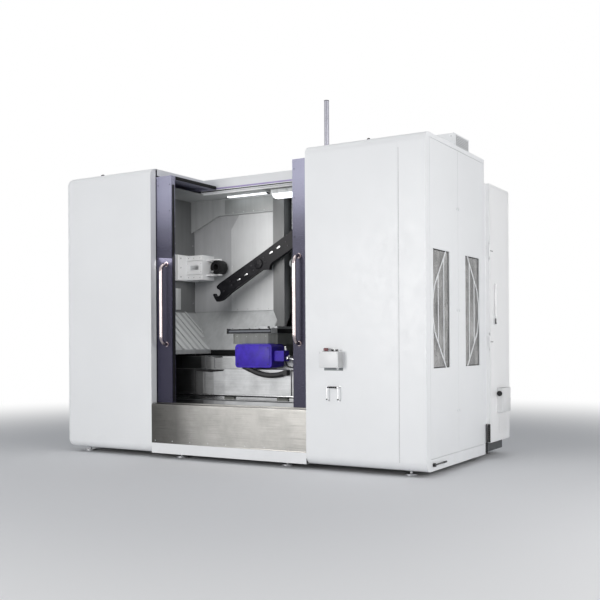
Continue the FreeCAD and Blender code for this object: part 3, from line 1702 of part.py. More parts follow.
# ---- Electrical cabinet ----
def cabinet_body():
    """Open-fronted electrical cabinet, standing on the pan's rim."""
    x = (cabinet_left, cabinet_right - cabinet_door_thickness - running_gap)
    y = (cabinet_front, machine_depth)
    outer = block(x, y, (pan_rim, cabinet_top))
    skin = cabinet_sheet
    inner_y = (y[0] + skin, y[1] - skin)
    inner = block((x[0] + skin, x[1]), inner_y, (pan_rim + skin, cabinet_top - skin))
    pieces = [outer.cut(inner), mounting_panel()]
    for middle in (cabinet_hinge_low, cabinet_hinge_high):
        pieces.append(hinge_fixed_part(middle))
    return joined(pieces)


def hinge_fixed_part(middle):
    """Pin and two knuckles of one cabinet hinge, on a leaf fixed to the cabinet's front wall."""
    reach = hinge_length / 2 + running_gap
    knuckle = hinge_length / 4
    pieces = [Part.makeCylinder(hinge_pin_radius, 2 * (reach + knuckle), hinge_at(middle - reach - knuckle))]
    for low in (middle - reach - knuckle, middle + reach):
        pieces.append(Part.makeCylinder(hinge_barrel_radius, knuckle, hinge_at(low)))
        leaf_x = (half_width + running_gap, cabinet_right)
        leaf_y = (cabinet_front - hinge_barrel_radius, cabinet_front)
        pieces.append(block(leaf_x, leaf_y, (low, low + knuckle)))
    return joined(pieces)


def hinge_at(z):
    """A point on the cabinet door's hinge line."""
    return Vec(cabinet_right, cabinet_front, z)


def cabinet_door():
    """Cabinet door: a shallow folded pan with two hinge barrels at its front edge."""
    x = (cabinet_right - cabinet_door_thickness, cabinet_right)
    y = (cabinet_front, machine_depth)
    z = (pan_rim, cabinet_top)
    skin = cabinet_sheet
    pan = block(x, y, z)
    pan = pan.cut(block((x[0], x[1] - skin), (y[0] + skin, y[1] - skin), (z[0] + skin, z[1] - skin)))
    for middle in (cabinet_hinge_low, cabinet_hinge_high):
        foot = hinge_at(middle - hinge_length)
        relief = Part.makeCylinder(hinge_barrel_radius + running_gap, hinge_length * 2, foot)
        pin = Part.makeCylinder(hinge_pin_radius + fit_gap, hinge_length * 2, foot)
        barrel_z = (middle - hinge_length / 2, middle + hinge_length / 2)
        barrel = Part.makeCylinder(hinge_barrel_radius, hinge_length, hinge_at(barrel_z[0]))
        kept = block(x, y, barrel_z).common(pan)
        pan = joined([pan.cut(relief), kept, barrel]).cut(pin)
    bore_at = Vec(x[0], cabinet_handle_y, cabinet_handle_low + cabinet_handle_length / 2)
    bore = Part.makeCylinder(cabinet_handle_radius + fit_gap, cabinet_door_thickness, bore_at, ALONG_X)
    return pan.cut(bore)


def cabinet_handle():
    """Long lever handle on a round spindle through the door."""
    middle = cabinet_handle_low + cabinet_handle_length / 2
    start = Vec(cabinet_right - cabinet_door_thickness, cabinet_handle_y, middle)
    rod_length = cabinet_door_thickness + running_gap * 2
    spindle_rod = Part.makeCylinder(cabinet_handle_radius, rod_length, start, ALONG_X)
    y = (cabinet_handle_y - cabinet_handle_plate / 2, cabinet_handle_y + cabinet_handle_plate / 2)
    x = (cabinet_right + running_gap, cabinet_right + cabinet_handle_radius * 2)
    lever = block(x, y, (cabinet_handle_low, cabinet_handle_low + cabinet_handle_length))
    lever = lever.makeFillet(cabinet_handle_radius / 2, lever.Edges)
    return joined([lever, spindle_rod])


def mounting_panel():
    """Plate inside the cabinet with rows of plain switchgear on rails."""
    x0 = cabinet_left + cabinet_sheet
    y = (cabinet_front + bed_wall, machine_depth - bed_wall)
    z = (pan_rim + cabinet_sheet, cabinet_top - bed_wall)
    plate = block((x0, x0 + mounting_plate), y, z)
    pieces = [plate]
    row_pitch = (z[1] - z[0]) / unit_rows
    unit_pitch = (y[1] - y[0]) / unit_count
    for row in range(unit_rows):
        low = z[0] + row_pitch * (row + 0.5) - unit_height / 2
        rail_z = (low + unit_height / 3, low + unit_height / 2)
        rail = block((x0 + mounting_plate, x0 + mounting_plate + rail_height), y, rail_z)
        pieces.append(rail)
        for number in range(unit_count):
            left = y[0] + unit_pitch * (number + 0.5) - unit_width / 2
            depth = unit_depth * (1 + (row + number) % 2 / 2)
            unit_x = (x0 + mounting_plate, x0 + depth)
            pieces.append(block(unit_x, (left, left + unit_width), (low, low + unit_height)))
    return joined(pieces)


def switch_box():
    """Main switch box on the cabinet door, with the knob's bore in its front-facing side."""
    x = (cabinet_right, cabinet_right + switch_box_out)
    y = (switch_box_near, switch_box_near + switch_box_width)
    z = (switch_box_low, switch_box_low + switch_box_height)
    body = block(x, y, z)
    body = rounded(body, control_radius, [dict(x=x[1], z=z[1]), dict(x=x[1], z=z[0]), dict(x=x[1], y=y[0])])
    centre = knob_centre()
    return body.cut(Part.makeCylinder(knob_stem_radius + fit_gap, knob_height * 2, centre, ALONG_Y))


def knob_centre():
    """Middle of the main switch, on the box's front-facing side."""
    x = cabinet_right + switch_box_out / 2
    z = switch_box_low + switch_box_height * 0.78
    return Vec(x, switch_box_near, z)


def switch_knob():
    """Black rotary switch with a grip bar across it."""
    centre = knob_centre()
    gap = running_gap
    face = centre.sub(Vec(0, gap, 0))
    disc = Part.makeCylinder(knob_radius, knob_height / 2, face, Vec(0, -1, 0))
    grip_x = (centre.x - knob_radius / 3, centre.x + knob_radius / 3)
    grip_z = (centre.z - knob_radius, centre.z + knob_radius)
    grip = block(grip_x, (face.y - knob_height, face.y - knob_height / 2), grip_z)
    start = centre.sub(Vec(0, gap, 0))
    stem = Part.makeCylinder(knob_stem_radius, knob_height + gap, start, ALONG_Y)
    return joined([disc, grip, stem])


# ---- The whole machine ----
def build_parts():
    """Every piece by name, in the front frame."""
    stop_x, first_x, second_x = button_places()
    left_edge = opening_left + stile_width + left_leaf_set_back
    right_edge = opening_right - stile_width + right_leaf_set_back
    left_handle_x = left_edge - handle_from_edge
    right_handle_x = right_edge + handle_from_edge
    return {
        "base_pan": base_pan(),
        "levelling_feet": levelling_feet(),
        "left_cover": left_cover(),
        "right_cover": right_cover(),
        "roof_cover": roof_cover(),
        "front_trim": front_trim(),
        "sill_panel": sill_panel(),
        "left_door": door_leaf(-1, left_edge),
        "left_door_window": door_window(-1, left_edge),
        "left_door_handle": bow_handle(left_handle_x),
        "right_door": door_leaf(1, right_edge),
        "right_door_window": door_window(1, right_edge),
        "right_door_handle": bow_handle(right_handle_x),
        "chamber_left_wall": chamber_left_wall(),
        "chamber_right_wall": chamber_right_wall(),
        "chamber_rear_wall": chamber_rear_wall(),
        "chamber_lamp": chamber_lamp(),
        "bed": bed(),
        "guide_rails": guide_rails(),
        "bed_covers": bed_covers(),
        "left_middle_cover": middle_cover(-1),
        "right_middle_cover": middle_cover(1),
        "saddle": saddle(),
        "saddle_cover": saddle_cover(),
        "pallet": pallet(),
        "drive_cover": drive_cover(),
        "drive_hose": drive_hose(),
        "column": column(),
        "spindle_head": spindle_head(),
        "ram": ram(),
        "spindle": spindle(),
        "upper_bellows": upper_bellows(),
        "lower_bellows": lower_bellows(),
        "tool_arm": tool_arm(),
        "arm_shaft": arm_shaft(),
        "pot_bracket": pot_bracket(),
        "tool_pot": tool_pot(),
        "tool_magazine": tool_magazine(),
        "magazine_stand": magazine_stand(),
        "bay_frame": bay_frame(),
        "bay_door_front": bay_door("front"),
        "bay_door_rear": bay_door("rear"),
        "bay_window_front": bay_window("front"),
        "bay_window_rear": bay_window("rear"),
        "oil_chiller": oil_chiller(),
        "hydraulic_unit": hydraulic_unit(),
        "drain_lever": drain_lever(),
        "control_box": control_box(),
        "stop_button": push_button(stop_x, estop_radius, estop_stem_radius, estop_height, True),
        "left_push_button": push_button(first_x, button_radius, button_stem_radius, button_height, False),
        "right_push_button": push_button(second_x, button_radius, button_stem_radius, button_height, False),
        "hose_hook": hose_hook(),
        "roof_pole": roof_pole(),
        "roof_box": roof_box(),
        "cabinet_body": cabinet_body(),
        "cabinet_door": cabinet_door(),
        "cabinet_handle": cabinet_handle(),
        "switch_box": switch_box(),
        "switch_knob": switch_knob(),
    }


def export_parts(pieces):
    """Move the machine so that the origin is under the middle of its box, and write it."""
    box = Part.makeCompound(list(pieces.values())).BoundBox
    shift = Vec(-(box.XMin + box.XMax) / 2, -(box.YMin + box.YMax) / 2, -box.ZMin)
    os.makedirs("parts", exist_ok=True)
    for name, shape in pieces.items():
        shape.translate(shift)
        shape.exportStep("parts/" + name + ".step")
        print(name, len(shape.Solids), shape.isValid())
    print("shift", shift, "size", box.XLength, box.YLength, box.ZLength, "pieces", len(pieces))


export_parts(build_parts())
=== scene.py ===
# %% [markdown]
# # A horizontal machining center, dressed for its picture
#
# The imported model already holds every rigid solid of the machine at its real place. This lesson
# loads those solids, points a camera at them from the photograph's corner, gives each surface a
# finish that a machine builder would know, and adds the small parts that a bare solid lacks:
# seals, screws, wear strips, folding covers, louvres, lids and hoses.

# %% Load the machine and keep its box
import json
import math
from itertools import product

import bmesh
import bpy
from mathutils import Matrix, Vector


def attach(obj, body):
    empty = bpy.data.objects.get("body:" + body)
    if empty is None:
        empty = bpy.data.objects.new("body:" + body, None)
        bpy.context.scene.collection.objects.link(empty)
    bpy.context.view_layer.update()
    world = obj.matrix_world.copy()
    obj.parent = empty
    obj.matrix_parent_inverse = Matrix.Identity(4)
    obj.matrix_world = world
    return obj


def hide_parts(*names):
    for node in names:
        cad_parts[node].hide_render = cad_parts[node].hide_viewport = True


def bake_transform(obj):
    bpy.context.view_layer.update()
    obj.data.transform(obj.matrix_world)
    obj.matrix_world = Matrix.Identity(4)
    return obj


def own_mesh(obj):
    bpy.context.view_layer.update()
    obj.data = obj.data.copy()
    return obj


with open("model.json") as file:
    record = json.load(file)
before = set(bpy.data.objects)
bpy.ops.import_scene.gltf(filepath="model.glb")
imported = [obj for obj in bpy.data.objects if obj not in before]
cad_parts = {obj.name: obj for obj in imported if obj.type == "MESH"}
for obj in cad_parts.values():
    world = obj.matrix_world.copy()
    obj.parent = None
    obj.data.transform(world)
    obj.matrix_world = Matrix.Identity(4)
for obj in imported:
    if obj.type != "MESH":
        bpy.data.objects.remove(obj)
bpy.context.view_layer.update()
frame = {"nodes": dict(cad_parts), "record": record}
solids = frame["nodes"]

# %% [markdown]
# The drawing of the machine counts millimetres from the middle of its front, while the loaded
# solids count metres from the middle of the floor under the machine. One small function carries
# a point across, so that every later size can be read as a workshop size.

# %% From workshop millimetres to the loaded frame
FRONT_MIDDLE = Vector((-0.052, -1.050, 0.0))


def at(x, y, z):
    return Vector((x, y, z)) / 1000.0 + FRONT_MIDDLE


print("front middle of the machine", [round(value, 3) for value in at(0, 0, 0)])

# %% [markdown]
# ## Camera
#
# The photographer stood at the right front corner, a little under eight metres away, with the
# lens at chest height and level. A level lens keeps the uprights upright, and the picture was
# framed by moving the window up, which is what the lens shift does here. The tiny roll is the
# tilt that the uprights show in the photograph.

# %% Camera at the photograph's corner
CAMERA_PLACE = at(5266, -7258, 1211)
CAMERA_TURN = math.radians(31.0)
CAMERA_ROLL = math.atan(0.0055)
LENS_MM = 53.16
LENS_SHIFT = 0.0715
SENSOR_MM = 36.0

camera_data = bpy.data.cameras.new("camera")
camera_data.lens = LENS_MM
camera_data.sensor_width = SENSOR_MM
camera_data.shift_y = LENS_SHIFT
camera_data.clip_end = 100.0
camera = bpy.data.objects.new("camera", camera_data)
bpy.context.scene.collection.objects.link(camera)
camera.location = CAMERA_PLACE
camera.rotation_euler = (math.radians(90.0), CAMERA_ROLL, CAMERA_TURN)
bpy.context.scene.camera = camera
print("camera height", round(CAMERA_PLACE.z, 3))

# %% [markdown]
# ## Studio
#
# A plain pale floor takes the shadow. Away from the machine it fades into the white behind it,
# as a paper sweep does. The world is white to the camera, to glossy surfaces and through glass,
# but dimmer as a light. Three large soft lamps do the rest: a key at the left of the camera, a
# fill at its right, and a top lamp over the roof. A small one inside the working space does the
# work of the machine's own lamp.

# %% Floor
FLOOR_HALF = 30.0
WHITE = (1.0, 1.0, 1.0, 1.0)

floor_mesh = bpy.data.meshes.new("floor")
floor_bm = bmesh.new()
bmesh.ops.create_grid(floor_bm, x_segments=1, y_segments=1, size=FLOOR_HALF)
floor_bm.to_mesh(floor_mesh)
floor_bm.free()
floor = bpy.data.objects.new("floor", floor_mesh)
bpy.context.scene.collection.objects.link(floor)
floor_paint = bpy.data.materials.new("pale_floor")
floor_paint.use_nodes = True
floor_shader = floor_paint.node_tree.nodes["Principled BSDF"]
floor_shader.inputs["Base Color"].default_value = (0.72, 0.73, 0.75, 1.0)
floor_shader.inputs["Roughness"].default_value = 0.85
floor_mesh.materials.append(floor_paint)
print("floor", floor.name)


# %% Rays that see the white background
def combine(tree, operation, first, second):
    node = tree.nodes.new("ShaderNodeMath")
    node.operation = operation
    tree.links.new(first, node.inputs[0])
    tree.links.new(second, node.inputs[1])
    return node.outputs[0]


def sees_background(tree):
    rays = tree.nodes.new("ShaderNodeLightPath").outputs
    seen = combine(tree, "MAXIMUM", rays["Is Camera Ray"], rays["Is Glossy Ray"])
    return combine(tree, "MAXIMUM", seen, rays["Is Transmission Ray"])


def show_mixed(tree, output, share, first, second):
    mix = tree.nodes.new("ShaderNodeMixShader")
    for number, socket in enumerate((share, first, second)):
        tree.links.new(socket, mix.inputs[number])
    tree.links.new(mix.outputs[0], tree.nodes[output].inputs["Surface"])


# %% Fade of the floor into the white
FADE_STARTS, FADE_ENDS = 3.4, 10.5

floor_tree = floor_paint.node_tree
away = floor_tree.nodes.new("ShaderNodeVectorMath")
away.operation = "LENGTH"
floor_tree.links.new(floor_tree.nodes.new("ShaderNodeTexCoord").outputs["Object"], away.inputs[0])
fade = floor_tree.nodes.new("ShaderNodeMapRange")
fade.interpolation_type = "SMOOTHSTEP"
fade.inputs["From Min"].default_value = FADE_STARTS
fade.inputs["From Max"].default_value = FADE_ENDS
floor_tree.links.new(away.outputs["Value"], fade.inputs["Value"])
seen_fade = combine(floor_tree, "MULTIPLY", fade.outputs["Result"], sees_background(floor_tree))
floor_white = floor_tree.nodes.new("ShaderNodeEmission")
floor_white.inputs["Color"].default_value = WHITE
show_mixed(floor_tree, "Material Output", seen_fade, floor_shader.outputs[0], floor_white.outputs[0])
print("floor fades from", FADE_STARTS, "m")

# %% World
world = bpy.data.worlds.new("studio")
bpy.context.scene.world = world
world.use_nodes = True
world_tree = world.node_tree
world_light = world_tree.nodes["Background"]
world_light.inputs["Color"].default_value = (0.93, 0.96, 1.0, 1.0)
world_light.inputs["Strength"].default_value = 0.35
seen_white = world_tree.nodes.new("ShaderNodeBackground")
seen_white.inputs["Color"].default_value = WHITE
seen_white.inputs["Strength"].default_value = 1.0
show_mixed(world_tree, "World Output", sees_background(world_tree), world_light.outputs[0],
           seen_white.outputs[0])
print("world strength", world_light.inputs["Strength"].default_value)


# %% Soft lamps
LAMP_COLOUR = (1.0, 0.98, 0.96)


def soft_lamp(name, place, target, size, watts):
    data = bpy.data.lights.new(name, "AREA")
    data.shape = "SQUARE"
    data.size = size
    data.energy = watts
    data.color = LAMP_COLOUR
    lamp = bpy.data.objects.new(name, data)
    bpy.context.scene.collection.objects.link(lamp)
    lamp.location = place
    lamp.rotation_euler = (target - place).to_track_quat("-Z", "Y").to_euler()
    return lamp


soft_lamp("key_lamp", at(-1700, -9700, 2300), at(-300, 600, 1400), 3.4, 403.0)
soft_lamp("fill_lamp", at(7400, -1200, 2500), at(600, 1300, 1300), 4.0, 180.0)
soft_lamp("top_lamp", at(-200, -600, 6500), at(-200, 700, 1500), 3.0, 34.0)
working_light = soft_lamp("working_light", at(-520, 330, 2380), at(-600, 1376, 1500), 0.8, 9.0)
working_light.visible_camera = False
bpy.context.scene.view_settings.view_transform = "Standard"
print("lamps", [lamp.name for lamp in bpy.data.lights])

# %% [markdown]
# ## Finishes
#
# A finish is built from a few steps that repeat: a pattern read in object space, so that it
# sticks to the surface; a ramp that turns the pattern into colours or roughness; and a bump that
# gives it height. The steps come first, as small helpers, and every finish then reads as a list
# of what the real surface shows.
#
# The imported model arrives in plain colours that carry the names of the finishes. They are taken
# off first, so that each finish made here keeps its own name.

# %% Take the plain colours off
for plain_colour in list(bpy.data.materials):
    if plain_colour != floor_paint:
        bpy.data.materials.remove(plain_colour)
print("plain colours left", [material.name for material in bpy.data.materials])


# %% Steps that every finish uses
def start_finish(name):
    material = bpy.data.materials.new(name)
    material.use_nodes = True
    tree = material.node_tree
    coords = tree.nodes.new("ShaderNodeTexCoord").outputs["Object"]
    return tree, tree.nodes["Principled BSDF"], coords


def add_node(tree, kind, inputs):
    node = tree.nodes.new("ShaderNode" + kind)
    for name, value in inputs.items():
        if isinstance(value, bpy.types.NodeSocket):
            tree.links.new(value, node.inputs[name])
        else:
            node.inputs[name].default_value = value
    return node.outputs


def mapped(tree, coords, change, value):
    return add_node(tree, "Mapping", {change: value, "Vector": coords})["Vector"]


def grain(tree, coords, scale, detail=3.0, rough=0.5):
    return add_node(tree, "TexNoise", {"Scale": scale, "Detail": detail, "Roughness": rough,
                                       "Vector": coords})["Fac"]


def cells(tree, coords, scale):
    return add_node(tree, "TexVoronoi", {"Scale": scale, "Vector": coords})["Distance"]


def ramp(tree, value, stops):
    node = tree.nodes.new("ShaderNodeValToRGB")
    band = node.color_ramp
    while len(band.elements) < len(stops):
        band.elements.new(0.5)
    for element, (position, colour) in zip(band.elements, stops):
        element.position = position
        element.color = (*colour, 1.0)
    tree.links.new(value, node.inputs["Fac"])
    return node.outputs["Color"]


def grey_ramp(tree, value, stops):
    return ramp(tree, value, [(position, (shade, shade, shade)) for position, shade in stops])


def greys(tree, value, low, high, start=0.3, end=0.7):
    return grey_ramp(tree, value, [(start, low), (end, high)])


def dimmed(colour, share):
    return tuple(min(1.0, value * share) for value in colour)


def mixed(tree, first, second, how="MULTIPLY", share=None):
    node = tree.nodes.new("ShaderNodeMix")
    node.data_type = "RGBA"
    node.blend_type = how
    if share is None:
        node.inputs["Factor"].default_value = 1.0
    else:
        tree.links.new(share, node.inputs["Factor"])
    tree.links.new(first, node.inputs["A"])
    tree.links.new(second, node.inputs["B"])
    return node.outputs["Result"]


def raise_by(tree, shader, height, depth, strength=0.5):
    bump = add_node(tree, "Bump", {"Strength": strength, "Distance": depth, "Height": height})
    tree.links.new(bump["Normal"], shader.inputs["Normal"])


def dress(tree, shader, colour, gloss):
    tree.links.new(colour, shader.inputs["Base Color"])
    tree.links.new(gloss, shader.inputs["Roughness"])


def between(tree, coords, axis, low, high):
    place = add_node(tree, "SeparateXYZ", {"Vector": coords})[axis]
    return add_node(tree, "MapRange", {"From Min": low, "From Max": high, "Value": place})["Result"]


HALF_SPAN = 1.5


# Paints light and shade into the colour: a grey ramp across the machine, read along X, multiplies the
# paint.
def painted_light_across(tree, coords, paint, stops):
    place = between(tree, coords, "X", -HALF_SPAN, HALF_SPAN)
    return mixed(tree, paint, grey_ramp(tree, place, stops))


print("finish steps ready")

# %% [markdown]
# ### Powder-coated sheet
#
# Machine panels are sheet steel with a baked powder coat. Close up the coat has a fine
# orange-peel skin. From a few steps away it shows slow changes of tone where the sheet is not
# quite flat, and a little dust near the floor. The colour is kept slightly cool and under full
# white, so that the light can shape it.


# %% Powder coat
def powder_coat(name, colour, roughness=0.38, dust=0.0, tone=0.05):
    tree, shader, coords = start_finish(name)
    slow = grain(tree, coords, 1.6, 2.0)
    paint = ramp(tree, slow, [(0.35, dimmed(colour, 1.0 - tone)), (0.65, dimmed(colour, 1.0 + tone))])
    if dust > 0.0:
        low_part = between(tree, coords, "Z", 0.02, 0.45)
        settled = combine(tree, "ADD", low_part, grain(tree, coords, 9.0, 4.0, 0.6))
        paint = mixed(tree, paint, greys(tree, settled, 1.0 - dust, 1.0, 0.35, 0.85))
    gloss = greys(tree, grain(tree, coords, 14.0), roughness - 0.05, roughness + 0.06)
    dress(tree, shader, paint, gloss)
    raise_by(tree, shader, grain(tree, coords, 420.0, 2.0), 0.00012)


powder_coat("panel_white", (0.83, 0.845, 0.86), dust=0.05, tone=0.012)
powder_coat("box_white", (0.80, 0.81, 0.82), roughness=0.42, tone=0.02)
powder_coat("cabinet_white", (0.90, 0.905, 0.91), dust=0.03, tone=0.015)
powder_coat("bracket_white", (0.90, 0.91, 0.92), tone=0.03)
powder_coat("switch_grey", (0.78, 0.785, 0.79), tone=0.02)
powder_coat("vent_grey", (0.42, 0.425, 0.43), tone=0.02)
powder_coat("pan_paint", (0.05, 0.055, 0.06), roughness=0.5)
powder_coat("magazine_paint", (0.12, 0.13, 0.15), roughness=0.45)
powder_coat("stand_paint", (0.22, 0.24, 0.25), roughness=0.5)
print("powder coats made")

# %% [markdown]
# ### Liner paint with dried coolant
#
# The inside of the working space is painted mid grey. Coolant runs down it and dries in faint
# upright streaks. A noise stretched along the height gives the streaks. A ramp across the machine
# paints the light and shade of the working space into the colour: painted shade darkens the liner's
# left edge and all of it right of the splash plate, and painted light makes it a step paler from
# about the splash plate's left edge.


# %% Liner paint
def liner_paint(name, colour, streak=0.16, roughness=0.42, across=None):
    tree, shader, coords = start_finish(name)
    runs = grain(tree, mapped(tree, coords, "Scale", (7.0, 7.0, 0.5)), 2.2, 5.0, 0.65)
    streaks = greys(tree, runs, 1.0 - streak, 1.0, 0.32, 0.62)
    clouds = grain(tree, coords, 2.0, 4.0)
    base = ramp(tree, clouds, [(0.3, dimmed(colour, 0.86)), (0.7, colour)])
    if across is not None:
        base = painted_light_across(tree, coords, base, across)
    gloss = greys(tree, runs, roughness - 0.12, roughness + 0.16)
    dress(tree, shader, mixed(tree, base, streaks), gloss)
    raise_by(tree, shader, grain(tree, coords, 260.0, 2.0), 0.0002)


# Painted light and shade across the liner: dark on the left wall (left of about -1416 mm) and again
# from about -180 mm, a step paler from about -850 mm.
liner_light_and_shade = [(0.0, 0.19), (0.0105, 0.20), (0.013, 0.74), (0.195, 0.76), (0.2015, 0.84),
                (0.421, 0.86), (0.4235, 0.27), (0.9, 0.4)]
liner_paint("liner_grey", (0.60, 0.62, 0.63), across=liner_light_and_shade)
# Darker and paler copies of the liner paint for the sheets in the working space: painted shade on the
# rear sheet and the header, painted light on the splash plate.
liner_paint("rear_sheet_paint", (0.49, 0.50, 0.515), streak=0.10)
liner_paint("header_paint", (0.33, 0.345, 0.345), streak=0.12)
liner_paint("splash_paint", (0.66, 0.675, 0.685), streak=0.06, roughness=0.36)
liner_paint("head_paint", (0.25, 0.27, 0.28), streak=0.25)
liner_paint("table_paint", (0.29, 0.30, 0.28), streak=0.3)
liner_paint("casting_grey", (0.16, 0.17, 0.18), streak=0.3, roughness=0.6)
print("liner paints made")

# %% [markdown]
# ### Hammertone
#
# The two door frames wear a dark blue hammertone: a paint that pulls into small dimples as it
# dries, with paler flecks between them. A cell pattern carries the dimples and a fine noise the
# flecks. Near the top the frames stand in the light that comes in over the roof, and there the
# glaze of the paint reads much paler, so the colour is blended by height.


# %% Hammertone
def hammertone(name, deep, fleck):
    tree, shader, coords = start_finish(name)
    dimples = cells(tree, coords, 115.0)
    flecks = grain(tree, coords, 150.0, 4.0, 0.75)
    paint = ramp(tree, flecks, [(0.42, dimmed(deep, 0.6)), (0.56, deep), (0.70, fleck)])
    pale = ramp(tree, flecks, [(0.42, (0.25, 0.25, 0.35)), (0.56, (0.38, 0.38, 0.50)),
                               (0.70, (0.66, 0.66, 0.78))])
    height = between(tree, coords, "Z", 1.2, 3.0)
    share = grey_ramp(tree, height, [(0.0, 0.0), (0.56, 0.10), (0.68, 0.36), (0.80, 0.80),
                                     (0.90, 1.0)])
    dress(tree, shader, mixed(tree, paint, pale, "MIX", share), greys(tree, flecks, 0.30, 0.50))
    shader.inputs["Metallic"].default_value = 0.35
    raise_by(tree, shader, dimples, 0.0007, 0.6)


hammertone("door_blue", (0.019, 0.017, 0.044), (0.26, 0.25, 0.40))
print("hammertone made")

# %% [markdown]
# ### Brushed, ground and polished steel
#
# Brushing leaves long fine lines along one direction, grinding leaves shorter ones, and polish
# leaves almost none. One recipe covers these: a noise stretched along the lines sets colour,
# roughness and a very shallow bump. The sill and the steel covers are darker toward their left
# end: on the sill this is a painted reflection, on the covers painted shade and reflection, in
# steps whose edges run slanted in plan. The bow handles are chrome, with the smudges of hands.


# %% Steel finishes
SPREAD = 0.12


def lined_steel(name, colour, along, roughness, lines=420.0, smear=0.10, across=None, slant=0.0):
    tree, shader, coords = start_finish(name)
    scale = [lines, lines, lines]
    scale["XYZ".index(along)] = 3.0
    strokes = grain(tree, mapped(tree, coords, "Scale", scale), 1.0, 2.0)
    marks = grain(tree, coords, 5.0, 4.0, 0.6)
    lined = ramp(tree, strokes, [(0.35, dimmed(colour, 1.0 - SPREAD)),
                                 (0.65, dimmed(colour, 1.0 + SPREAD))])
    if across is not None:
        turned = mapped(tree, coords, "Rotation", (0.0, 0.0, slant))
        lined = painted_light_across(tree, turned, lined, across)
    smeared = mixed(tree, lined, greys(tree, marks, 1.0 - smear, 1.0, 0.3, 0.6))
    dress(tree, shader, smeared, greys(tree, strokes, roughness - 0.07, roughness + 0.07))
    shader.inputs["Metallic"].default_value = 1.0
    raise_by(tree, shader, strokes, 0.00006)


# Painted reflection: the sill's colour grows darker toward its left end.
sill_reflection = [(0.18, 0.20), (0.28, 0.30), (0.36, 0.75), (0.48, 1.0), (0.86, 0.88)]
lined_steel("sill_steel", (0.54, 0.53, 0.505), "X", 0.34, smear=0.2, across=sill_reflection)
# Painted shade and reflection: the covers darken toward the left in steps, along lines slanted in
# plan.
COVER_SLANT = math.atan(0.9)
COVER_SHADE_AND_REFLECTION_STEPS = ((-2.0, 0.20), (-1.192, 0.24), (-1.184, 0.50), (-1.054, 0.54), (-1.048, 0.72),
              (-0.902, 0.78), (-0.896, 0.96), (0.4, 1.0))
cover_shade_and_reflection = [(place / (2 * HALF_SPAN) * math.cos(COVER_SLANT) + 0.5, shade)
             for place, shade in COVER_SHADE_AND_REFLECTION_STEPS]
lined_steel("cover_steel", (0.49, 0.50, 0.51), "X", 0.44, smear=0.25, across=cover_shade_and_reflection,
            slant=-COVER_SLANT)
lined_steel("guide_steel", (0.62, 0.63, 0.64), "X", 0.22)
lined_steel("pallet_steel", (0.34, 0.35, 0.36), "Y", 0.38, lines=160.0, smear=0.3)
lined_steel("ram_steel", (0.58, 0.59, 0.60), "Y", 0.26)
lined_steel("spindle_steel", (0.66, 0.67, 0.68), "Y", 0.2)
lined_steel("shaft_steel", (0.56, 0.57, 0.58), "Y", 0.26)
lined_steel("feet_steel", (0.50, 0.51, 0.53), "Z", 0.35)
lined_steel("pole_steel", (0.38, 0.38, 0.43), "Z", 0.28)
lined_steel("hook_steel", (0.76, 0.77, 0.78), "Z", 0.36)
lined_steel("swing_handle", (0.74, 0.74, 0.75), "Z", 0.36)
print("steels made")


# %% Polished chrome for the bow handles
def polished_chrome(name):
    tree, shader, coords = start_finish(name)
    hands = grain(tree, coords, 22.0, 5.0, 0.6)
    tone = ramp(tree, hands, [(0.3, (0.46, 0.39, 0.40)), (0.7, (0.58, 0.51, 0.52))])
    dress(tree, shader, tone, greys(tree, hands, 0.06, 0.20))
    shader.inputs["Metallic"].default_value = 1.0
    raise_by(tree, shader, grain(tree, coords, 90.0), 0.00003, 0.4)


polished_chrome("handle_chrome")
print("chrome made")

# %% [markdown]
# ### Plastics, rubber, cloth and glass
#
# Small parts need their own feel. Moulded plastic has a fine spark-eroded grain, rubber is dull
# with a dusty bloom, the way covers are coated cloth with a weave under the coat, and the panes
# are slightly grey with old wipe marks. On the service bay's panes a pale mottled tint is painted
# reflection.


# %% Moulded plastic and rubber
def moulded(name, colour, roughness=0.35, texture=900.0, depth=0.00008, coat=0.0, gloss_level=0.5):
    tree, shader, coords = start_finish(name)
    cloud = grain(tree, coords, 18.0, 4.0)
    bright = tuple(min(1.0, value * 1.15 + 0.004) for value in colour)
    tone = ramp(tree, cloud, [(0.35, dimmed(colour, 0.8)), (0.7, bright)])
    dress(tree, shader, tone, greys(tree, cloud, roughness - 0.06, roughness + 0.1))
    shader.inputs["Coat Weight"].default_value = coat
    shader.inputs["Specular IOR Level"].default_value = gloss_level
    raise_by(tree, shader, grain(tree, coords, texture, 2.0), depth)


moulded("stop_red", (0.13, 0.010, 0.018), 0.28, coat=0.3)
moulded("button_black", (0.014, 0.014, 0.015), 0.3)
moulded("knob_black", (0.014, 0.014, 0.015), 0.38)
moulded("lever_black", (0.012, 0.012, 0.013), 0.3)
moulded("pot_black", (0.010, 0.010, 0.011), 0.45, gloss_level=0.25)
moulded("arm_black", (0.006, 0.006, 0.008), 0.42, texture=240.0, depth=0.0003, gloss_level=0.16)
moulded("drive_blue", (0.052, 0.022, 0.46), 0.40, texture=380.0, depth=0.0002, gloss_level=0.3)
moulded("hose_black", (0.010, 0.010, 0.011), 0.5, texture=300.0)
moulded("lamp_white", (0.82, 0.85, 0.86), 0.3)
moulded("chiller_paint", (0.52, 0.58, 0.54), 0.45, texture=300.0)
moulded("unit_paint", (0.10, 0.12, 0.13), 0.45, texture=300.0)
print("plastics made")


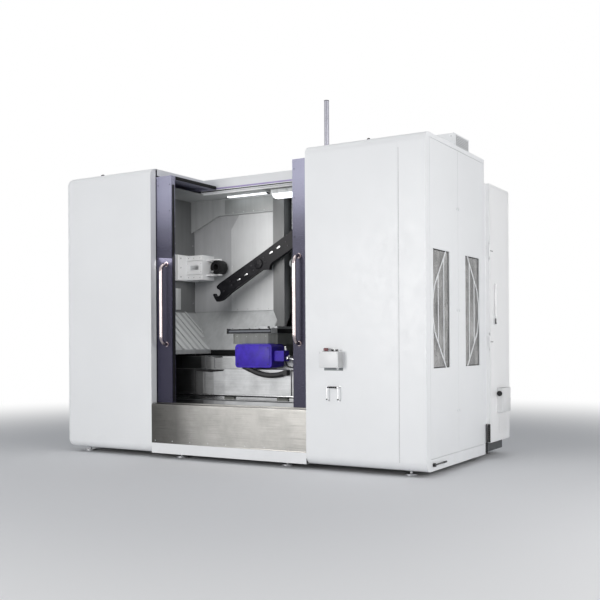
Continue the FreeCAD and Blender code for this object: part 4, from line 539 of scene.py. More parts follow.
# %% Coated cloth of the way covers
def coated_cloth(name, colour):
    tree, shader, coords = start_finish(name)
    weave = grain(tree, mapped(tree, coords, "Scale", (900.0, 900.0, 260.0)), 1.0, 2.0)
    soil = grain(tree, coords, 6.0, 5.0, 0.65)
    stained = greys(tree, soil, 0.80, 1.0, 0.3, 0.6)
    threads = ramp(tree, weave, [(0.3, dimmed(colour, 0.9)), (0.7, colour)])
    tree.links.new(mixed(tree, threads, stained), shader.inputs["Base Color"])
    shader.inputs["Roughness"].default_value = 0.58
    shader.inputs["Sheen Weight"].default_value = 0.15
    raise_by(tree, shader, weave, 0.0003)


coated_cloth("bellows_fabric", (0.70, 0.72, 0.73))
print("cloth made")


# %% Clear panes
def clear_pane(name, colour, alpha, wipe_and_reflection_low=0.9):
    tree, shader, coords = start_finish(name)
    wipes_and_reflections = grain(tree, mapped(tree, coords, "Scale", (3.0, 3.0, 1.2)), 3.0, 5.0, 0.6)
    tint = ramp(tree, wipes_and_reflections, [(0.3, dimmed(colour, wipe_and_reflection_low)), (0.7, colour)])
    dress(tree, shader, tint, greys(tree, wipes_and_reflections, 0.04, 0.16))
    shader.inputs["Alpha"].default_value = alpha
    shader.inputs["IOR"].default_value = 1.45


clear_pane("door_glass", (0.45, 0.50, 0.52), 0.28)
# Painted reflection: a pale mottled tint on the service bay's panes.
clear_pane("bay_glass", (0.86, 0.86, 0.85), 0.42, wipe_and_reflection_low=0.22)
print("panes made")

# %% [markdown]
# The record names one material slot for each solid, and the finishes above carry the same names,
# so dressing the solids is a short loop.

# %% Dress every solid
for entry in frame["record"]["subparts"]:
    solid = solids[entry["node"]]
    solid.data.materials.clear()
    solid.data.materials.append(bpy.data.materials[entry["material_slot"]])

# %% [markdown]
# ## Small parts
#
# The solids carry the machine's shape. What they lack is what hands and tools touch: screw
# heads, seals, wear strips, lenses and clips. Each small part starts from a cube, a round bar, a
# ring or a flat outline. Most get their edges broken by a small bevel. Each is handed to the body
# that carries it, so that it moves with the door, table or arm it is screwed to. A part made of
# blocks alone is written as a list of them: each with its span left to right, front to back and
# low to high, and the width of its bevel. Rows of screws are written in the same order.


# %% Shapes that the small parts start from
FORWARD, BACKWARD, UPWARD = (0, -1, 0), (0, 1, 0), (0, 0, 1)
LEFTWARD, RIGHTWARD = (-1, 0, 0), (1, 0, 0)


def new_shape():
    return bmesh.new()


def break_edges(shape, edges, width):
    bmesh.ops.bevel(shape, geom=list(edges), offset=width / 1000, offset_type="OFFSET",
                    affect="EDGES", segments=2, profile=0.5, material=-1)


def add_block(shape, x, y, z, edge=0.0, turn=None):
    low, high = at(x[0], y[0], z[0]), at(x[1], y[1], z[1])
    place = Matrix.Translation((low + high) / 2)
    if turn is not None:
        place = place @ turn
    place = place @ Matrix.Diagonal((*(high - low), 1.0))
    made = bmesh.ops.create_cube(shape, size=1.0, matrix=place)
    if edge > 0.0:
        edges = {side for corner in made["verts"] for side in corner.link_edges}
        break_edges(shape, edges, edge)


def add_round(shape, start, end, radius, end_radius=None, sides=24, edge=0.0):
    begin, finish = at(*start), at(*end)
    along = finish - begin
    turn = along.to_track_quat("Z", "Y").to_matrix().to_4x4()
    place = Matrix.Translation((begin + finish) / 2) @ turn
    far_radius = radius if end_radius is None else end_radius
    made = bmesh.ops.create_cone(shape, cap_ends=True, cap_tris=False, segments=sides,
                                 radius1=radius / 1000, radius2=far_radius / 1000,
                                 depth=along.length, matrix=place)
    if edge > 0.0:
        rims = {side for corner in made["verts"] for side in corner.link_edges
                if any(len(face.verts) > 4 for face in side.link_faces)}
        break_edges(shape, rims, edge)
    return made["verts"]


def add_ring(shape, centre, axis, inner, outer, length, sides=48):
    middle, along = at(*centre), Vector(axis)
    across = along.orthogonal().normalized()
    section = [(inner, 0.0), (outer, 0.0), (outer, length), (inner, length)]
    corners = [shape.verts.new(middle + across * (out / 1000) + along * (up / 1000))
               for out, up in section]
    sides_of_section = [shape.edges.new((corners[i], corners[i - 1])) for i in range(4)]
    bmesh.ops.spin(shape, geom=corners + sides_of_section, cent=middle, axis=along,
                   dvec=(0.0, 0.0, 0.0), angle=math.tau, steps=sides, use_merge=True)


def add_plate(shape, outline, push):
    face = shape.faces.new([shape.verts.new(at(*corner)) for corner in outline])
    grown = bmesh.ops.extrude_face_region(shape, geom=[face])
    moved = [item for item in grown["geom"] if isinstance(item, bmesh.types.BMVert)]
    bmesh.ops.translate(shape, verts=moved, vec=Vector(push) / 1000)


def add_screw(shape, foot, out, radius, height=None):
    rise = Vector(out) * (height or radius * 0.7)
    top = Vector(foot) + rise
    corners = add_round(shape, foot, top, radius, radius * 0.9, sides=12)
    end = at(*top)
    head = min({face for corner in corners for face in corner.link_faces if len(face.verts) > 4},
               key=lambda face: (face.calc_center_median() - end).length)
    bmesh.ops.inset_region(shape, faces=[head], thickness=radius * 0.42 / 1000, use_even_offset=True)
    bmesh.ops.translate(shape, verts=head.verts, vec=-rise * 0.55 / 1000)


def several(value):
    return value if isinstance(value, (tuple, range)) else (value,)


def add_screws(shape, xs, ys, zs, out, radius, height=None):
    for foot in product(several(xs), several(ys), several(zs)):
        add_screw(shape, foot, out, radius, height)


def add_bolt_circle(shape, centre, spread, count, first, out, radius):
    for number in range(count):
        angle = math.radians(360 / count * number + first)
        reach, rise = spread * math.cos(angle), spread * math.sin(angle)
        step = (reach, rise, 0) if out == UPWARD else (reach, 0, rise)
        add_screw(shape, [middle + move for middle, move in zip(centre, step)], out, radius)


SAME_PLACE = 0.000005
SHARP_ANGLE = math.radians(32.0)


def finish_piece(shape, name, material, body="base"):
    bmesh.ops.remove_doubles(shape, verts=shape.verts, dist=SAME_PLACE)
    bmesh.ops.recalc_face_normals(shape, faces=shape.faces)
    mesh = bpy.data.meshes.new(name)
    shape.to_mesh(mesh)
    shape.free()
    for face in mesh.polygons:
        face.use_smooth = True
    mesh.set_sharp_from_angle(angle=SHARP_ANGLE)
    mesh.materials.append(bpy.data.materials[material])
    piece = bpy.data.objects.new(name, mesh)
    bpy.context.scene.collection.objects.link(piece)
    if body is not None:
        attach(piece, body)
    print(name, "faces", len(mesh.polygons), "rides", body)
    return piece


def screw_piece(name, material, *rows, body="base"):
    part = new_shape()
    for row in rows:
        add_screws(part, *row)
    finish_piece(part, name, material, body)


def block_piece(name, material, *blocks, body="base"):
    part = new_shape()
    for block in blocks:
        add_block(part, *block)
    finish_piece(part, name, material, body)


# %% Finishes of the small parts
# The black rubber also paints shade: in the gap behind the way covers and under the table cover's
# edge.
moulded("edge_rubber", (0.011, 0.011, 0.012), 0.6, texture=500.0, gloss_level=0.2)
lined_steel("black_screw", (0.075, 0.075, 0.08), "Y", 0.36, lines=300.0)
lined_steel("bright_screw", (0.60, 0.61, 0.62), "Y", 0.28, lines=300.0)
lined_steel("bright_plate", (0.74, 0.75, 0.76), "X", 0.40)
lined_steel("brass", (0.62, 0.46, 0.20), "Y", 0.26, lines=300.0)
powder_coat("pale_liner", (0.56, 0.575, 0.58), roughness=0.36, tone=0.04)
moulded("seam_shade", (0.42, 0.425, 0.43), 0.6, texture=300.0)
powder_coat("rail_violet", (0.40, 0.34, 0.58), 0.34)


# This glow serves the chamber lamp's lens and also the strip under the ceiling, where it is painted
# light.
def lamp_and_painted_glow(name, strength):
    tree, shader, coords = start_finish(name)
    ribs = grain(tree, mapped(tree, coords, "Scale", (2.0, 120.0, 120.0)), 1.0, 1.0)
    tone = ramp(tree, ribs, [(0.3, (0.86, 0.90, 0.92)), (0.7, (0.94, 0.97, 1.0))])
    dress(tree, shader, tone, greys(tree, ribs, 0.25, 0.4))
    tree.links.new(tone, shader.inputs["Emission Color"])
    shader.inputs["Emission Strength"].default_value = strength
    raise_by(tree, shader, ribs, 0.0003)


lamp_and_painted_glow("lens_glow", 1.6)
print("small finishes made")

# %% [markdown]
# ### The working space
#
# The chamber lamp gets a ribbed lens on its sloped front, and a slim glowing strip sits under the
# ceiling beside it, standing in for the brightly lit band there: painted light. Both glow a little.
# The left chip chute has pale wear strips on its ribs, because chips and coolant strike these
# first, and pale flats between them. Thin sheets stand against the rear wall and the header, in
# darker and paler copies of the liner paint: painted shade on the rear sheet and the header,
# painted light on the splash plate. A small plate sits on the left wall. A black strip with a
# screwed bar closes the gap behind the way covers and paints the shade in that gap. Rows of
# round-headed screws hold the liners.

# %% Lamp lens and light bar
part = new_shape()
slope_out = Vector((0.0, -0.7071, -0.7071))
lens_corners = [Vector(corner) + slope_out * 0.6 for corner in
                ((-90, 1074, 2880), (774, 1074, 2880), (774, 1108, 2846), (-90, 1108, 2846))]
add_plate(part, lens_corners, slope_out * 4.0)
add_block(part, (-90, 774), (1118, 1192), (2836, 2841.6), edge=1.5)
finish_piece(part, "lamp_lens", "lens_glow")

# Painted light: this glowing strip stands in for the brightly lit band under the ceiling; the machine
# has no lamp here.
block_piece("ceiling_glow_strip", "lens_glow", ((-790, -240), (1180, 1232), (2914, 2925.6), 3.0))
part = new_shape()
for end in (-800, -240):
    add_block(part, (end, end + 10), (1176, 1236), (2911, 2925.6), edge=2.0)
finish_piece(part, "ceiling_glow_strip_ends", "black_screw")

# %% Wear strips on the ribs of the left chute
RIB_MIDDLES = (363.3, 566.7, 770.0, 973.3)
CHUTE_LEAN = 450.0 / 470.0
rib_out = Vector((CHUTE_LEAN, 0.0, 1.0)).normalized()


def rib_top(x):
    return 1152.5 + (-950.0 - x) * CHUTE_LEAN


part = new_shape()
for middle, low_end in [(rib, -955.0) for rib in RIB_MIDDLES] + [(1176.7, -1150.0)]:
    outline = [Vector((x, y, rib_top(x))) + rib_out * 0.3
               for x, y in ((-1408.0, middle - 10), (-1408.0, middle + 10),
                            (low_end, middle + 10), (low_end, middle - 10))]
    add_plate(part, outline, rib_out * 2.2)
finish_piece(part, "chute_wear_strips", "pale_liner")

block_piece("wall_cover_plate", "pale_liner",
            ((-1419.6, -1415.0), (1007, 1100), (1615, 1868), 1.5))

# Painted shade: a darker copy of the liner paint on the rear wall, left of the splash plate.
part = new_shape()
add_plate(part, [(-1419, 1376.4, 1594), (-814, 1376.4, 1594), (-814, 1376.4, 2550),
                 (-698, 1376.4, 2728), (-1419, 1376.4, 2728)], (0, 3.3, 0))
finish_piece(part, "rear_liner_sheet", "rear_sheet_paint")

# Painted light: the splash plate wears a paler copy of the liner paint.
part = new_shape()
add_plate(part, [(-866, 1371.2, 1594), (-182, 1371.2, 1594), (-182, 1371.2, 2728),
                 (-749, 1371.2, 2728), (-866, 1371.2, 2562)], (0, 2.5, 0))
add_block(part, (-865, -815), (1373.7, 1376.3), (1595, 2550))
finish_piece(part, "splash_plate", "splash_paint")

# Painted shade: the header sheet wears a darker copy of the liner paint.
block_piece("header_sheet", "header_paint", ((-905, -186), (1296.9, 1299.7), (2738, 2908), 0.6))

part = new_shape()
for middle in (617, 717, 820, 920, 1023, 1123):
    low_end = -955.0 if middle < 1060 else -1104.0
    outline = [Vector((x, y, 1140.0 + (-950.0 - x) * CHUTE_LEAN)) + rib_out * 0.4
               for x, y in ((-1406.0, middle - 26), (-1406.0, middle + 26),
                            (low_end, middle + 26), (low_end, middle - 26))]
    add_plate(part, outline, rib_out * 1.6)
finish_piece(part, "chute_flats", "pale_liner")

# %% Black strip with painted shade behind the way covers
# Painted shade: a black strip fills the dark gap behind the way covers.
block_piece("rear_gap_shade_strip", "edge_rubber", ((-945, 1262), (1055.6, 1059.7), (1076, 1136), 1.0))

part = new_shape()
add_block(part, (-940, 1258), (1052.4, 1055.4), (1118, 1134), edge=0.8)
add_screws(part, range(-900, 1250, 150), 1052.3, 1126, FORWARD, 5.0)
finish_piece(part, "rear_lip_bar", "black_screw")

# %% Screws that hold the liners
screw_piece("liner_screws", "bright_screw",
            (range(-780, -200, 145), 1371.1, 1612, FORWARD, 6.5, 3.0),
            (range(-780, -200, 145), 1296.8, 2752, FORWARD, 6.5, 3.0),
            ((-845, -206), 1371.1, range(1740, 2520, 190), FORWARD, 6.5, 3.0),
            (range(-1370, -920, 150), 1299.8, 2900, FORWARD, 6.5, 3.0),
            (-1419.8, (700, 1000, 1340), (1700, 2400, 2600), RIGHTWARD, 6.5, 3.0))

# %% [markdown]
# Two folding covers close the rear wall's window above and below the head. On the machine the
# cloth opens and folds as the head climbs. Here each cover is built fold by fold as a fixed shape
# and stands in for its plain solid. The upper one hangs from the wall and ends on the head, and
# stays in place. The lower one sits under the head and rides with it.

# %% Folding covers above and below the head
FOLD_FRONT, FOLD_DEPTH, COVER_BACK = 1335.0, 16.0, 1391.0
COVER_SIDES = (-3.0, 687.0)
HEAD_TOP, HEAD_FOOT = 2377.0, 1847.0
WINDOW_TOP, WINDOW_FOOT = 2880.0, 900.0


def folded_cover(low, high, folds):
    side = COVER_SIDES[0]
    pitch = (high - low) / folds
    outline = [(side, FOLD_FRONT + FOLD_DEPTH, low)]
    for number in range(folds):
        outline.append((side, FOLD_FRONT, low + pitch * (number + 0.5)))
        outline.append((side, FOLD_FRONT + FOLD_DEPTH, low + pitch * (number + 1)))
    outline += [(side, COVER_BACK, high), (side, COVER_BACK, low)]
    cover = new_shape()
    add_plate(cover, outline, (COVER_SIDES[1] - side, 0, 0))
    return cover


upper_cover = finish_piece(folded_cover(HEAD_TOP, WINDOW_TOP, 12), "upper_way_cover",
                           "bellows_fabric", None)
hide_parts("upper_bellows")
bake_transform(upper_cover)

lower_cover = finish_piece(folded_cover(WINDOW_FOOT, HEAD_FOOT, 18), "lower_way_cover",
                           "bellows_fabric", "head")
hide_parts("lower_bellows")
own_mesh(lower_cover)

# %% [markdown]
# ### Way covers and table
#
# The table's cover wears a thin rubber wiper round both ends, so that chips do not travel
# inward. A second wiper hangs from its front foot, held by a screwed bar, and a dark wedge-shaped
# sheet under its edge paints the shadow that falls there. The pallet has a dark edge rail, and the
# drive housing has a lid with four screws and a few fittings on its connector, where a cable and a
# pipe run down.

# %% Wipers round the ends of the table's cover
WIPER_SIDES = (((416.4, 419.7), (668, 938.4)), ((416.4, 596.6), (935.3, 938.4)),
               ((596.6, 599.7), (935.3, 1073.2)), ((596.6, 1036), (1070.3, 1073.2)))
part = new_shape()
for end in ((-1021, -1009), (1109, 1121)):
    for depth, height in WIPER_SIDES:
        add_block(part, end, depth, height, edge=0.6)
finish_piece(part, "cover_end_wipers", "edge_rubber", "table")

block_piece("cover_foot_wiper", "edge_rubber",
            ((-1010, 1110), (415.2, 419.7), (646, 669), 1.0), body="table")

part = new_shape()
add_block(part, (-1006, 1106), (412.6, 415.0), (658, 668), edge=0.6)
add_screws(part, range(-960, 1100, 120), 412.5, 663, FORWARD, 3.6, 1.5)
finish_piece(part, "cover_foot_bar", "bright_screw", "table")

# %% Dark wedge of painted shadow under the edge of the table's cover
# Painted shadow: a dark wedge-shaped sheet where shadow falls under the cover's edge.
part = new_shape()
add_plate(part, [(-664, 417.6, 932), (-288, 417.6, 932), (-306, 417.6, 916), (-470, 417.6, 902),
                 (-664, 417.6, 914)], (0, 2.0, 0))
finish_piece(part, "cover_shadow_wedge", "edge_rubber", "table")

# %% Edge rail, corner block and screws of the pallet
part = new_shape()
add_block(part, (-217, 317), (396.6, 399.7), (1313, 1359), edge=0.8)
add_block(part, (-268.4, -265.3), (447, 983), (1313, 1359), edge=0.8)
add_block(part, (365.3, 368.4), (447, 983), (1313, 1359), edge=0.8)
add_plate(part, [(-267, 444, 1311.5), (-219, 396, 1311.5), (-223, 392, 1311.5),
                 (-271, 440, 1311.5)], (0, 0, 54))
finish_piece(part, "pallet_edge_rail", "arm_black", "pallet_turn")

block_piece("pallet_edge_strip", "magazine_paint",
            ((-212, 312), (395.9, 396.5), (1326, 1345)), body="pallet_turn")

screw_piece("pallet_screws", "black_screw",
            ((-190, -170, 305), 396.5, 1326, FORWARD, 5.0),
            ((-205, 305), (455, 975), 1365.2, UPWARD, 8.0, 4.0), body="pallet_turn")

screw_piece("flange_screws", "bright_screw",
            ((-130, -10, 110, 230), 434.8, 1282, FORWARD, 5.5), body="table")

# %% Lid, screws and fittings of the table drive
block_piece("drive_lid", "drive_blue",
            ((-89, 326), (356.4, 359.7), (976, 1180), 1.6),
            ((-60, 300), (420, 560), (1204.3, 1207.3), 1.4), body="table")

screw_piece("drive_screws", "black_screw",
            ((-70, 307), 356.3, (995, 1161), FORWARD, 6.5),
            (467.3, (418, 500), (1040, 1115), RIGHTWARD, 4.5), body="table")

part = new_shape()
add_round(part, (448, 470, 1131.4), (448, 470, 1160), 17, sides=6, edge=1.5)
add_round(part, (448, 470, 1160), (448, 470, 1176), 11, sides=20, edge=1.0)
add_round(part, (467.4, 458, 1060), (492, 458, 1055), 19, sides=6, edge=1.5)
add_round(part, (492, 458, 1055), (570, 458, 1036), 10, sides=20, edge=1.0)
add_round(part, (467.4, 492, 1074), (488, 492, 1073), 15, sides=6, edge=1.5)
finish_piece(part, "drive_fittings", "bright_screw", "table")


# %% Cables and pipes as smooth round curves
def bent_piece(name, routes, radius, material, body="base"):
    line = bpy.data.curves.new(name, "CURVE")
    line.dimensions = "3D"
    line.bevel_depth = radius / 1000
    line.bevel_resolution = 3
    line.use_fill_caps = True
    for route in routes:
        run = line.splines.new("NURBS")
        run.points.add(len(route) - 1)
        for knot, place in zip(run.points, route):
            knot.co = (*at(*place), 1.0)
        run.order_u = 3
        run.use_endpoint_u = True
        run.resolution_u = 8
    line.materials.append(bpy.data.materials[material])
    piece = bpy.data.objects.new(name, line)
    bpy.context.scene.collection.objects.link(piece)
    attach(piece, body)
    print(name, "runs", len(routes), "rides", body)


bent_piece("drive_cable", [[(487, 492, 1073), (516, 495, 1070), (536, 502, 1034),
                            (532, 512, 992), (508, 520, 957)]], 9, "hose_black", "table")
bent_piece("drive_pipe", [[(430, 500, 1023.6), (432, 500, 1000), (456, 500, 966),
                           (508, 498, 957), (566, 496, 956)]], 8, "hose_black", "table")

# %% [markdown]
# ### Tool changer and spindle
#
# The double arm turns on a shaft whose end is closed by a dark cap with bolts round it. Bright
# plates sit on the arm at its slots and stand in for the light that shows through them: painted
# light. The waiting pot is held by two steel clips and has a dark ring round its mouth, and the
# bracket that carries it has rows of screws and a small plate. The spindle nose and the head plate
# are bolted on, and a bright ring lies on the spindle's face.

# %% Hub cap and bolts of the changer arm
ARM_HUB = Vector((-314.0, 1120.0, 2112.0))
ARM_LEAN = math.radians(28.2)
arm_along = Vector((math.cos(ARM_LEAN), 0.0, math.sin(ARM_LEAN)))
arm_across = Vector((-math.sin(ARM_LEAN), 0.0, math.cos(ARM_LEAN)))


def on_arm(along, across, out=0.0):
    return ARM_HUB + arm_along * along + arm_across * across + Vector((0.0, -out, 0.0))


part = new_shape()
add_round(part, (-314, 1113.6, 2112), (-314, 1104, 2112), 60, 54, sides=48, edge=1.5)
add_round(part, (-314, 1104.2, 2112), (-314, 1099, 2112), 24, 22, sides=32, edge=1.0)
add_bolt_circle(part, (-314, 1104.0, 2112), 42, 6, 15, FORWARD, 5.5)
finish_piece(part, "arm_hub_cap", "arm_black", "shaft")

part = new_shape()
for side in (-1, 1):
    for along, across in ((92, 30), (92, -30), (430, 26), (430, -26), (560, 30)):
        add_screw(part, on_arm(side * along, side * across, 0.2), FORWARD, 8.0)
finish_piece(part, "arm_bolts", "black_screw", "arm")

# Painted light: bright plates on the arm at its slots stand in for the light that shows through them.
SLOT_LIGHT_HALF_LENGTH, SLOT_LIGHT_HALF_WIDTH = 24, 7
SLOT_LIGHT_TURN = Matrix.Rotation(-ARM_LEAN, 4, "Y")

part = new_shape()
for side in (-1, 1):
    for along in (206, 318):
        middle = on_arm(side * along, side * 22)
        add_block(part, (middle.x - SLOT_LIGHT_HALF_LENGTH, middle.x + SLOT_LIGHT_HALF_LENGTH), (1116.6, 1119.7),
                  (middle.z - SLOT_LIGHT_HALF_WIDTH, middle.z + SLOT_LIGHT_HALF_WIDTH), edge=0.8, turn=SLOT_LIGHT_TURN)
finish_piece(part, "arm_slot_light_plates", "bright_plate", "arm")

# %% Clips of the waiting pot
part = new_shape()
for low, high in ((2170, 2194), (2048, 2072)):
    add_block(part, (-1049, -1004), (1194, 1199.7), (low, high), edge=1.2)
    add_block(part, (-1060, -1053.5), (1194, 1232), (low, high), edge=1.2)
add_screws(part, -1024, 1193.8, (2182, 2060), FORWARD, 5.0)
finish_piece(part, "pot_clips", "bright_plate", "pot")

part = new_shape()
add_ring(part, (-970, 1199.7, 2112), FORWARD, 35.5, 47, 3.5)
finish_piece(part, "pot_mouth_ring", "black_screw", "pot")

screw_piece("bracket_screws", "bright_screw",
            ((-1330, -1250, -1160), 1141.8, (2228, 1996), FORWARD, 6.0),
            ((-1340, -1145), 1141.8, (2160, 2064), FORWARD, 5.0),
            (-1359.8, 1030, (2222, 2112, 2002), RIGHTWARD, 9.0))

block_piece("bracket_plate", "bright_plate", ((-1300, -1180), (1137.6, 1141.7), (2086, 2138), 1.2))

# %% Spindle nose bolts, face ring and head plate bolts
SPINDLE_X, SPINDLE_Z = 342, 2112

part = new_shape()
add_bolt_circle(part, (SPINDLE_X, 1221.8, SPINDLE_Z), 82, 8, 22.5, FORWARD, 7.0)
finish_piece(part, "spindle_nose_bolts", "black_screw", "ram_body")

part = new_shape()
add_ring(part, (SPINDLE_X, 1199.7, SPINDLE_Z), FORWARD, 40, 60, 2.2)
finish_piece(part, "spindle_face_ring", "bright_plate", "spindle_body")

part = new_shape()
add_screws(part, (20, 664), 1334.8, (1880, 2000, 2224, 2344), FORWARD, 10.0)
add_bolt_circle(part, (SPINDLE_X, 1334.8, SPINDLE_Z), 174, 12, 0, FORWARD, 8.0)
finish_piece(part, "head_plate_bolts", "black_screw", "head")

# %% [markdown]
# ### Doors, rails and roof edge
#
# Each sliding door closes on a rubber lip along its meeting edge, and its pane sits in a rubber
# frame on both faces. The roof leaf of each door ends in a black cap. The rail that the leaves
# run on is a coloured profile with a dark slot under it. Screws sit along the doors' stiles and
# along the sill, which has two thin hems.

# %% Door lips and window rubbers
PANE_LOW, PANE_HIGH = 1143.0, 2643.0
RUBBER_WIDTH, RUBBER_DEPTH = 14.0, 3.6
LIPS = {"left": (-729.7, -725.6), "right": (768.6, 772.7)}


def add_window_rubber(shape, left, right, y):
    near, width, low, high = (y, y + RUBBER_DEPTH), RUBBER_WIDTH, PANE_LOW, PANE_HIGH
    add_block(shape, (left, right), near, (low, low + width), edge=0.9)
    add_block(shape, (left, right), near, (high - width, high), edge=0.9)
    add_block(shape, (left, left + width), near, (low + width, high - width), edge=0.9)
    add_block(shape, (right - width, right), near, (low + width, high - width), edge=0.9)


for side, pane in (("left", (-1578, -1060)), ("right", (1103, 1621))):
    part = new_shape()
    add_block(part, LIPS[side], (104, 136), (600, 2900), edge=1.2)
    add_window_rubber(part, pane[0] + 1, pane[1] - 1, 110.0)
    add_window_rubber(part, pane[0] + 1, pane[1] - 1, 126.4)
    finish_piece(part, side + "_door_rubbers", "edge_rubber", side + "_leaf")

# %% Roof leaf caps and the rail they run on
for side, cap in LIPS.items():
    part = new_shape()
    add_block(part, cap, (160, 888), (2957, 2993), edge=1.0)
    finish_piece(part, side + "_roof_leaf_cap", "edge_rubber", side + "_leaf")

block_piece("leaf_rail_cover", "rail_violet", ((-934, 962), (921, 929.6), (2966, 2984), 2.0))

block_piece("leaf_rail_slot", "edge_rubber",
            ((-934, 962), (924, 929.6), (2960.4, 2965.6), 0.5),
            ((-936, 964), (886.6, 889.9), (2940, 2950), 0.8))

# %% Screws of the doors and of the sill
for side, hinge_x, tail_x in (("left", -752, -908), ("right", 795, 951)):
    screw_piece(side + "_door_screws", "black_screw",
                ((hinge_x, tail_x), 89.8, (640, 1010, 2240, 2620, 2900), FORWARD, 5.0),
                body=side + "_leaf")

screw_piece("sill_screws", "bright_screw", (range(-890, 960, 230), -0.2, 188, FORWARD, 5.5, 2.6))

block_piece("sill_hems", "sill_steel",
            ((-937, 965), (-2.2, -0.3), (163, 170), 0.8),
            ((-937, 965), (24, 30), (583.3, 585.2), 0.6))

# %% [markdown]
# ### Right block, electrical cabinet and roof
#
# The control box gets a lid on a thin gasket, and each button a collar. A grey sheet on the box's
# right side paints the shade of that side, and a dark band under the box paints its shadow on the
# wall. The hose hook has dark rubber sleeves so that it does not scratch a hose, and its feet end
# in small plates. The service doors close with round latches, and their panes sit in rubber. The
# roof box breathes through slats, and the roof has seams and lifting eyes. The cabinet's door gets
# trim and a bead, and its switch box a lid and a grey sheet on its top that paints the top face's
# shade.

# %% Control box and its buttons
block_piece("control_box_lid", "box_white",
            ((1170.5, 1367.5), (-103.6, -101.4), (983.5, 1126.5), 0.9))

# Painted shade: a grey sheet on the box's right side.
block_piece("control_box_side_shade", "vent_grey", ((1371.3, 1372.6), (-97, -5), (984, 1126), 0.5))

# Painted shadow: a dark band under the box.
block_piece("control_box_shadow_band", "stand_paint", ((1170, 1371), (-3.4, -0.3), (951, 979.6), 0.8))

part = new_shape()
add_block(part, (1168.5, 1369.5), (-3.4, -0.3), (981.5, 1128.5), edge=0.8)
add_block(part, (1171.5, 1366.5), (-101.3, -100.2), (984.5, 1125.5))
add_ring(part, (1217, -50, 1130.2), UPWARD, 27, 33.5, 3.4)
for x in (1287, 1332):
    add_ring(part, (x, -50, 1130.2), UPWARD, 14, 18.5, 5.0)
finish_piece(part, "control_box_gasket", "edge_rubber")

part = new_shape()
add_screws(part, (1180, 1358), -103.7, (993, 1117), FORWARD, 3.6, 1.8)
add_round(part, (1340, -50, 979.8), (1340, -50, 968), 12, sides=6, edge=1.0)
add_round(part, (1340, -50, 968.2), (1340, -50, 961), 9, sides=20, edge=1.0)
finish_piece(part, "control_box_screws", "bright_screw")

# %% Sleeves and feet of the hose hook
part = new_shape()
for start in range(1222, 1315, 20):
    add_ring(part, (start, -34, 795), RIGHTWARD, 5.3, 8.2, 16, sides=24)
for x in (1213, 1331):
    add_ring(part, (x, -34, 676), UPWARD, 5.3, 7.2, 12, sides=24)
finish_piece(part, "hook_sleeves", "edge_rubber")

part = new_shape()
for x in (1213, 1331):
    for z in (673, 795):
        add_ring(part, (x, -0.3, z), FORWARD, 5.4, 13, 2.6, sides=32)
finish_piece(part, "hook_plates", "bright_screw")

# %% Latches and window rubbers of the service doors
for body, near, pane in (("front_bay_leaf", 762, (170, 565)), ("rear_bay_leaf", 818, (985, 1380))):
    name = body.replace("leaf", "door")
    part = new_shape()
    for z in (560, 1515, 2480):
        add_round(part, (2200.3, near, z), (2203.6, near, z), 15, sides=36, edge=1.0)
        add_block(part, (2203.7, 2205.4), (near - 2, near + 2), (z - 9, z + 9), edge=0.6)
    finish_piece(part, name + "_latches", "panel_white", body)
    part = new_shape()
    for low, high in ((pane[0] + 0.6, pane[0] + 8), (pane[1] - 8, pane[1] - 0.6)):
        add_block(part, (2188.3, 2190.2), (low, high), (975.6, 2054.4), edge=0.5)
    for low, high in ((975.6, 983), (2047, 2054.4)):
        add_block(part, (2188.3, 2190.2), (pane[0] + 8.2, pane[1] - 8.2), (low, high), edge=0.5)
    finish_piece(part, name + "_rubbers", "edge_rubber", body)

# %% Roof box slats, roof screws, pole cap, seams and lifting eyes
SLAT_LEAN = Matrix.Rotation(math.radians(-32), 4, "Y")

part = new_shape()
for z in range(3122, 3122 + 9 * 17, 17):
    add_block(part, (2050.6, 2052.8), (1160, 1460), (z, z + 12), edge=0.6, turn=SLAT_LEAN)
for y in (1150, 1465):
    add_block(part, (2050.3, 2052.6), (y, y + 6), (3112, 3276), edge=0.6)
for z in (3108, 3274):
    add_block(part, (2050.3, 2052.6), (1150, 1471), (z, z + 6), edge=0.6)
finish_piece(part, "roof_box_slats", "vent_grey")

part = new_shape()
add_bolt_circle(part, (1098, 200, 3095.2), 41, 4, 45, UPWARD, 7.0)
add_screws(part, (1660, 2010), 1109.8, (3100, 3270), FORWARD, 6.0)
add_screws(part, (1640, 2030), (1130, 1490), 3300.2, UPWARD, 6.5)
finish_piece(part, "roof_screws", "bright_screw")

part = new_shape()
add_round(part, (1098, 200, 3540.2), (1098, 200, 3546), 26, 24, sides=40, edge=1.2)
finish_piece(part, "roof_pole_cap", "edge_rubber")

part = new_shape()
for x in (-1640, 1560):
    add_block(part, (x, x + 26), (150, 2170 if x < 0 else 1500), (3085.3, 3088), edge=0.8)
add_block(part, (-1600, 1540), (1500, 1526), (3085.3, 3088), edge=0.8)
finish_piece(part, "roof_seam_strips", "panel_white")

part = new_shape()
for x in (-1900, 1500):
    for y in (300, 1900) if x < 0 else (300,):
        add_round(part, (x, y, 3085.3), (x, y, 3093), 30, sides=32, edge=1.5)
        add_ring(part, (x - 7, y, 3122), RIGHTWARD, 18, 32, 14, sides=40)
finish_piece(part, "lifting_eyes", "black_screw")

block_piece("corner_panel_seam", "seam_shade", ((1938.5, 1941.5), (-0.9, -0.3), (130, 2960)))

# %% Fittings of the electrical cabinet
block_piece("cabinet_foot_shield", "edge_rubber", ((2203, 2214), (1561.8, 1565.6), (60, 363), 0.8))

